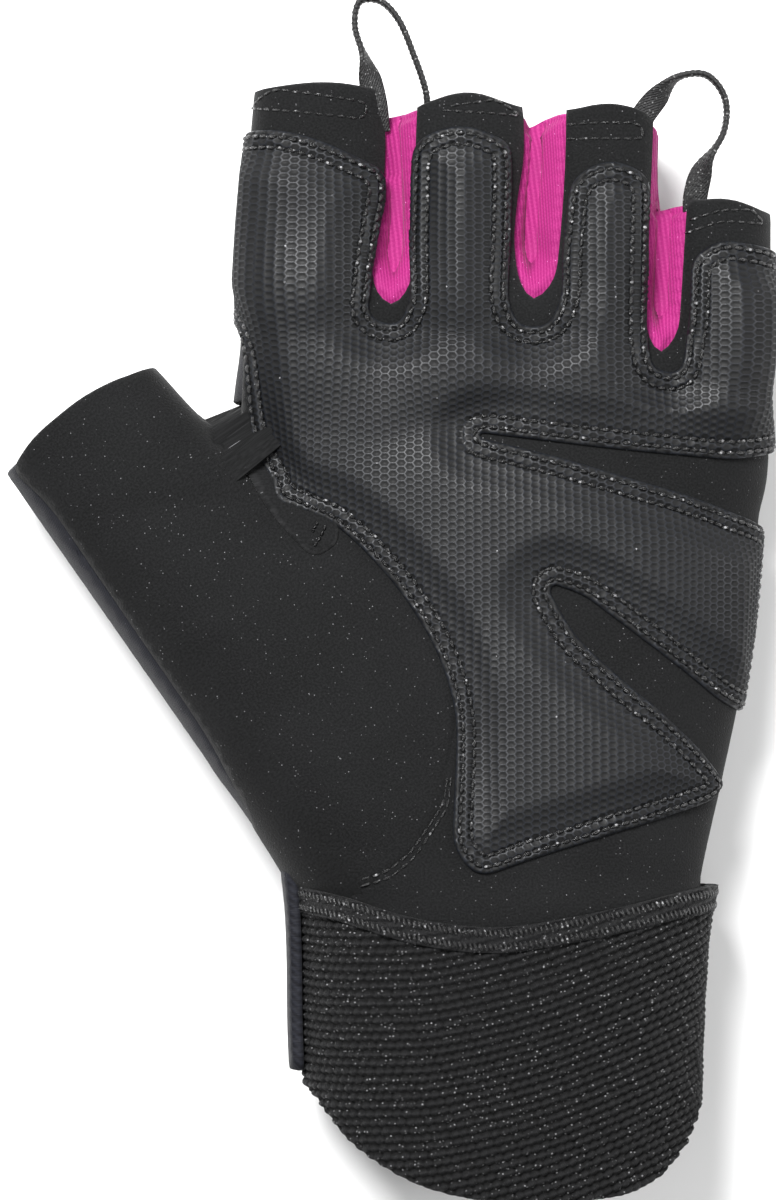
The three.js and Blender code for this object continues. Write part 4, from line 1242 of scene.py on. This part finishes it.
# Small stitched tab in the crotch of the thumb
tab = {"wall": 0.55}
tabOutline = [
    (-0.498, 0.672, 0.01), (-0.456, 0.632, 0.02), (-0.413, 0.6047, 0.04), (-0.358, 0.578, 0.03),
    (-0.312, 0.592, 0.04), (-0.31, 0.612, 0.02), (-0.34, 0.632, 0.02), (-0.44, 0.665, 0.02),
    (-0.48, 0.684, 0.01),
]
cut = cutSheet(handLay.flatten(rounded(tabOutline)), (), 0.9)
tabMesh = sheetMesh(handLay, cut, steady(0.1 + tab["wall"]), steady(0.06))
addPiece("thumb_tab", tabMesh, looks["suede"], "suede", "thumb_crotch_tab")

# Wrist wrap of woven elastic: cords across, each with beads where the warp holds it
wrap = {"wall": 1.8, "cord": 1.46, "bead": 1.6, "relief": 0.66, "step": 0.3, "rows": 185}
wrapTop = [
    (-0.6, 0.286, 0), (-0.366, 0.284, 0.087), (-0.166, 0.254, 0.13), (-0.011, 0.246, 0.13),
    (0.2, 0.264, 0.13), (0.372, 0.284, 0.087), (0.6, 0.286, 0),
]
wrapRim = [
    (-0.6, 0.13, 0), (-0.39, 0.112, 0.065), (-0.3, 0.052, 0.087), (-0.15, 0.012, 0.109),
    (0.06, -0.004, 0.13), (0.27, 0.012, 0.109), (0.35, 0.049, 0.087), (0.384, 0.1, 0.065),
    (0.6, 0.12, 0),
]


def edgeAt(corners, lift=0.0):
    line = rounded(corners)
    order = np.argsort(line[:, 0])
    return lambda x: np.interp(x, line[order, 0], line[order, 1]) + lift


topAt, rimAt = edgeAt(wrapTop), edgeAt(wrapRim)
straight, bendRadius = 0.76 * width - 1.1 * depth, 0.55 * depth
girth = 2 * straight + 2 * np.pi * bendRadius


def wrapX(u):
    return wrapLay.sample(np.stack([u, np.full(len(u), 30.0)], -1))[:, 0]


def wrapTube(fine, coarse, rows, lows, highs, low, high, relief=None):
    # closed tube of cloth round the wrist, finer on its palm side, from one edge line to the other
    reach = 51.0
    u = np.concatenate([np.arange(-reach, reach, fine), np.arange(reach, girth - reach, coarse)])
    columns = len(u)
    u = np.where(u > girth / 2, u - girth, u)
    x = wrapX(u)
    v0, v1 = lows(x), highs(x)
    share = np.linspace(0, 1, rows)[:, None]
    v = v0 * (1 - share) + v1 * share
    flat = np.stack([np.broadcast_to(u, v.shape), v], -1).reshape(-1, 2)
    carved = np.zeros(len(flat)) if relief is None else relief(flat)
    heights = high + carved
    innerShare = np.linspace(0, 1, 8)[:, None]
    innerV = v0 * (1 - innerShare) + v1 * innerShare
    innerFlat = np.stack([np.broadcast_to(u, innerV.shape), innerV], -1).reshape(-1, 2)
    points = np.concatenate([wrapLay.place(flat, heights), wrapLay.place(innerFlat, low)])
    faces, first = [], rows * columns
    for r in range(rows - 1):
        for c in range(columns):
            a, b = r * columns + c, r * columns + (c + 1) % columns
            faces.append((a, b, b + columns, a + columns))
    for r in range(7):
        for c in range(columns):
            a, b = first + r * columns + c, first + r * columns + (c + 1) % columns
            faces.append((a, a + columns, b + columns, b))
    for c in range(columns):
        d = (c + 1) % columns
        faces.append((first + c, first + d, d, c))
        top, lowTop = (rows - 1) * columns, first + 7 * columns
        faces.append((top + c, top + d, lowTop + d, lowTop + c))
    return points, faces, np.concatenate([onCloth(flat, carved), onCloth(innerFlat)])


def weave(flat):
    # cords that rise to the right, as the band is wound on at a slant
    past = np.maximum(flat[:, 0] + 16, 0)
    rise = 0.36 * (past - 9 * (1 - np.exp(-past / 9)))
    cord = (flat[:, 1] - rise + 0.25 * np.sin(flat[:, 0] / 6)) / wrap["cord"]
    row = np.floor(cord)
    middle = np.abs(cord - row - 0.5) * 2
    drift = np.sin(row * 12.9898) * 0.4
    bead = (flat[:, 0] / wrap["bead"] + row * 0.5 + drift) % 1.0
    notch = np.exp(-(((bead - 0.5) / 0.19) ** 2))
    uneven = 0.08 * np.sin(flat[:, 0] * 2.3 + row * 2.1) + 0.06 * np.sin(flat[:, 0] * 0.9 + row)
    return -wrap["relief"] * np.clip(middle**2.2 + notch * (0.3 + 0.7 * middle), 0, 1.15) + uneven


# the weave's depth also sets painted shade in its grooves
wrapMesh = wrapTube(wrap["step"], 1.1, wrap["rows"], rimAt, topAt, -wrap["wall"], 0, weave)
wrapPiece = addPiece("wrap_elastic", wrapMesh, looks["elastic"], "elastic", "wrist_wrap")

# Stitched top band of the wrap, with its two rows of zigzag
band = {
    "low": -4.2,
    "high": 0.2,
    "wall": 0.34,
    "zigzag": (-0.9, -3.2),  # places of the rows below the top edge
    "reach": 46,
    "pitch": 0.86,
    "swing": 0.62,
    "slant": 0.55,
}
bandLow, bandHigh = edgeAt(wrapTop, band["low"]), edgeAt(wrapTop, band["high"])
bandWeave = lambda flat: 0.7 * weave(flat) * (0.5 + 0.5 * np.abs(np.sin(flat[:, 0] * 1.9)))
bandMesh = wrapTube(0.33, 1.2, 18, bandLow, bandHigh, 0.0, band["wall"], bandWeave)
addPiece("wrap_band", bandMesh, looks["elastic"], "elastic", "wrap_seam_band")
u = np.arange(-band["reach"], band["reach"], band["pitch"])
zigzag = []
for row in band["zigzag"]:
    base = topAt(wrapX(u)) + row
    tops = np.stack([u, base + band["swing"]], -1)
    feet = np.stack([u + band["slant"], base - band["swing"]], -1)
    zigzag += list(np.stack([tops, feet], 1)[:-1])
zigzagMesh = stitches(wrapLay, zigzag, steady(0.3), share=1.0, thick=0.22, lift=0.16)
addPiece("wrap_zigzag", zigzagMesh, looks["thread"], "elastic")

# Closure flap: the end of the wrap, folded round to the back
flap = {"from": -38, "to": -84, "low": 0.116, "high": 0.3, "wall": 1.9}
flapOutline = np.array([
    (flap["from"], flap["high"]), (flap["to"], flap["high"] - 0.02), (flap["to"] - 3, 0.25),
    (flap["to"] - 3, 0.15), (flap["to"], flap["low"]), (flap["from"], flap["low"]),
]) * (1, length)
cut = cutSheet(flapOutline, (), 1.5)
cuts["closure_tab"] = ([cut],)
flapMesh = sheetMesh(wrapLay, cut, steady(0.3 + flap["wall"]), steady(0.3))
addPiece("closure_tab", flapMesh, looks["stretch"], "stretch", "closure_flap")

# Pull loops: narrow webbing that starts flat inside a finger and stands on edge between two
loop = {"width": 4.2, "wall": 1.1, "steps": 150, "weave": 0.9}
loopPaths = {
    "index_middle": [(-0.238, 0.965, 0.79), (-0.243, 0.99, 0.83), (-0.262, 1.03, 0.85), (-0.281, 1.06, 0.85),
                     (-0.272, 1.082, 0.86), (-0.235, 1.083, 0.86), (-0.2, 1.066, 0.86), (-0.172, 1.035, 0.85),
                     (-0.148, 1.0, 0.83), (-0.146, 0.975, 0.79)],
    "ring_little": [(0.24, 0.955, 0.78), (0.252, 0.975, 0.81), (0.282, 0.995, 0.83), (0.322, 1.014, 0.84),
                    (0.375, 1.016, 0.84), (0.41, 0.995, 0.83), (0.408, 0.965, 0.82), (0.372, 0.935, 0.82),
                    (0.355, 0.905, 0.79), (0.358, 0.88, 0.76)],
}
for name, path in loopPaths.items():
    stops = np.array(path) * (width, length, depth)
    spans = np.concatenate([[0], np.cumsum(np.linalg.norm(np.diff(stops, axis=0), axis=1))])
    rows = {"along": spans, "x": stops[:, 0], "y": stops[:, 1], "z": stops[:, 2]}
    s = np.linspace(0, spans[-1], loop["steps"])
    at = np.stack([curve(rows, axis)(s) for axis in "xyz"], -1)
    ahead = np.gradient(at, axis=0)
    ahead /= np.linalg.norm(ahead, axis=1, keepdims=True)
    t = s / spans[-1]
    ends = np.minimum(t, 1 - t) if name == "ring_little" else t
    upright = smoothStep(ends, 0.1, 0.34)[:, None]
    flatWay = np.stack([-ahead[:, 1], ahead[:, 0], np.zeros(len(s))], -1)
    wide = flatWay * (1 - upright) + np.array([0, 0, 1.0]) * upright
    wide -= ahead * (wide * ahead).sum(1, keepdims=True)
    wide /= np.linalg.norm(wide, axis=1, keepdims=True)
    thick = np.cross(ahead, wide)
    profile = []
    for i in range(20):
        turn = i * 2 * np.pi / 20
        c, v = np.cos(turn), np.sin(turn)
        profile.append((np.sign(c) * abs(c) ** 0.55, np.sign(v) * abs(v) ** 0.7))
    profile = np.array(profile)
    rib = 1 + 0.16 * np.sin(s[:, None] * 2 * np.pi / loop["weave"] + np.round(profile[:, 0] * 3) * np.pi)
    points = at[:, None] + wide[:, None] * profile[None, :, :1] * loop["width"] / 2
    points = points + thick[:, None] * (profile[:, 1] * rib)[..., None] * loop["wall"] / 2
    count = len(profile)
    faces = []
    for r in range(0, (len(s) - 1) * count, count):
        faces += [(r + a, r + b, r + count + b, r + count + a) for a, b in ring(0, count)]
    faces += [tuple(range(count))[::-1], tuple((len(s) - 1) * count + c for c in range(count))]
    over, down = np.meshgrid(profile[:, 0] * loop["width"] / 2, s)
    built = points.reshape(-1, 3), faces, onCloth(np.stack([over, down], -1).reshape(-1, 2))
    addPiece("pull_loop_webbing_" + name, built, looks["webbing"], "webbing", "pull_loop_" + name)


# Stitches of the fingertip hems, the thumb seam and the tab
def throughPlaces(lay, places, step):
    return resample(lay.flatten(np.array(places, float) * (width, length)), step, False)


hems = [
    [(-0.47, 0.99), (-0.43, 1.003), (-0.26, 0.991), (-0.262, 0.9755), (-0.35, 0.98), (-0.473, 0.9885)],
    [(-0.104, 0.987), (-0.06, 0.99), (-0.017, 0.993), (0.028, 0.979), (-0.12, 0.983)],
    [(0.112, 0.9704), (0.18, 0.9722), (0.252, 0.9722), (0.256, 0.9577), (0.112, 0.9577)],
    [(0.342, 0.8845), (0.4, 0.8935), (0.464, 0.8944), (0.482, 0.8818), (0.4, 0.8836), (0.333, 0.8727)],
]
hemLines = [throughPlaces(handLay, line, 1.9) for line in hems]
seamThread = {"thick": 0.24, "lift": 0.2}
addPiece("hem_stitches", stitches(handLay, hemLines, steady(0.04), **seamThread), looks["thread"], "suede")
seamRows = [
    [(-0.103, 0.383), (-0.108, 0.357), (-0.137, 0.335), (-0.174, 0.309), (-0.219, 0.292), (-0.273, 0.284)],
    [(-0.11, 0.383), (-0.116, 0.359), (-0.143, 0.34), (-0.178, 0.315), (-0.222, 0.298), (-0.273, 0.29)],
]
barTack = [
    [(-0.35, 0.611), (-0.356, 0.606), (-0.361, 0.601)],
    [(-0.335, 0.608), (-0.343, 0.599), (-0.359, 0.588)],
]
thumbLines = [throughPlaces(thumbLay, line, 1.9) for line in seamRows]
tackLines = [throughPlaces(thumbLay, line, 1.2) for line in barTack]
seamMesh = stitches(thumbLay, thumbLines, steady(0.04), **seamThread)
tackMesh = stitches(thumbLay, tackLines, steady(0.95), **seamThread)
addPiece("thumb_stitches", joined([seamMesh, tackMesh]), looks["thread"], "suede")

# The size that each cloth was cut to, before it was sewn
held = {
    "palm_suede": ("laid", ["back_stretch"], ["hem_stitches"]),
    "back_stretch": ("stretched", ["palm_suede"], []),
    "thumb_suede": ("laid", ["thumb_stretch"], ["thumb_tab", "thumb_stitches"]),
    "thumb_stretch": ("stretched", ["thumb_suede"], []),
    "closure_tab": ("laid", ["wrap_elastic"], []),
}
for name in gussetNames:
    held["gusset_knit_" + name] = ("folded", ["palm_suede", "back_stretch"], [])
for name, (how, restsOn, others) in held.items():
    size, area = clothSize(*cuts[name])
    others = [bpy.data.objects[other] for other in others]
    print("cloth", name, [round(side, 4) for side in size], round(area, 5))
u = np.linspace(-girth / 2, girth / 2, 200)
rise = topAt(wrapX(u)) - rimAt(wrapX(u))
wrapSize, wrapArea = (girth / 1000, rise.max() / 1000), rise.mean() * girth / 1e6
print("cloth wrap_elastic", np.round(wrapSize, 4), round(wrapArea, 5))

# Floor and soft studio light
floorMesh = bpy.data.meshes.new("floor")
floorMesh.from_pydata([(-3, -3, 0), (3, -3, 0), (3, 3, 0), (-3, 3, 0)], [], [(0, 1, 2, 3)])
floorMesh.materials.append(plain("floor", (0.86, 0.86, 0.86), 0.9))
floor = bpy.data.objects.new("floor", floorMesh)
bpy.context.scene.collection.objects.link(floor)
world = bpy.data.worlds.new("studio")
world.use_nodes = True
world.node_tree.nodes["Background"].inputs["Color"].default_value = (1, 1, 1, 1)
world.node_tree.nodes["Background"].inputs["Strength"].default_value = 0.42
bpy.context.scene.world = world
lights = {
    "top": {"at": (-0.22, 0.42, 0.75), "size": 0.3, "power": 17},
    "above": {"at": (0.25, -0.15, 1.3), "size": 0.5, "power": 3},
    "side": {"at": (0.8, 0.1, 0.45), "size": 0.4, "power": 4},
}
for name, light in lights.items():
    data = bpy.data.lights.new(name, "AREA")
    data.size, data.energy = light["size"], light["power"]
    lamp = bpy.data.objects.new(name, data)
    lamp.location = light["at"]
    target = np.array((-0.0014, 0.0, 0.02)) - np.array(light["at"])
    lamp.rotation_euler = Vector(target).to_track_quat("-Z", "Y").to_euler()
    bpy.context.scene.collection.objects.link(lamp)
bpy.context.scene.view_settings.view_transform = "Standard"
print("light and floor placed")
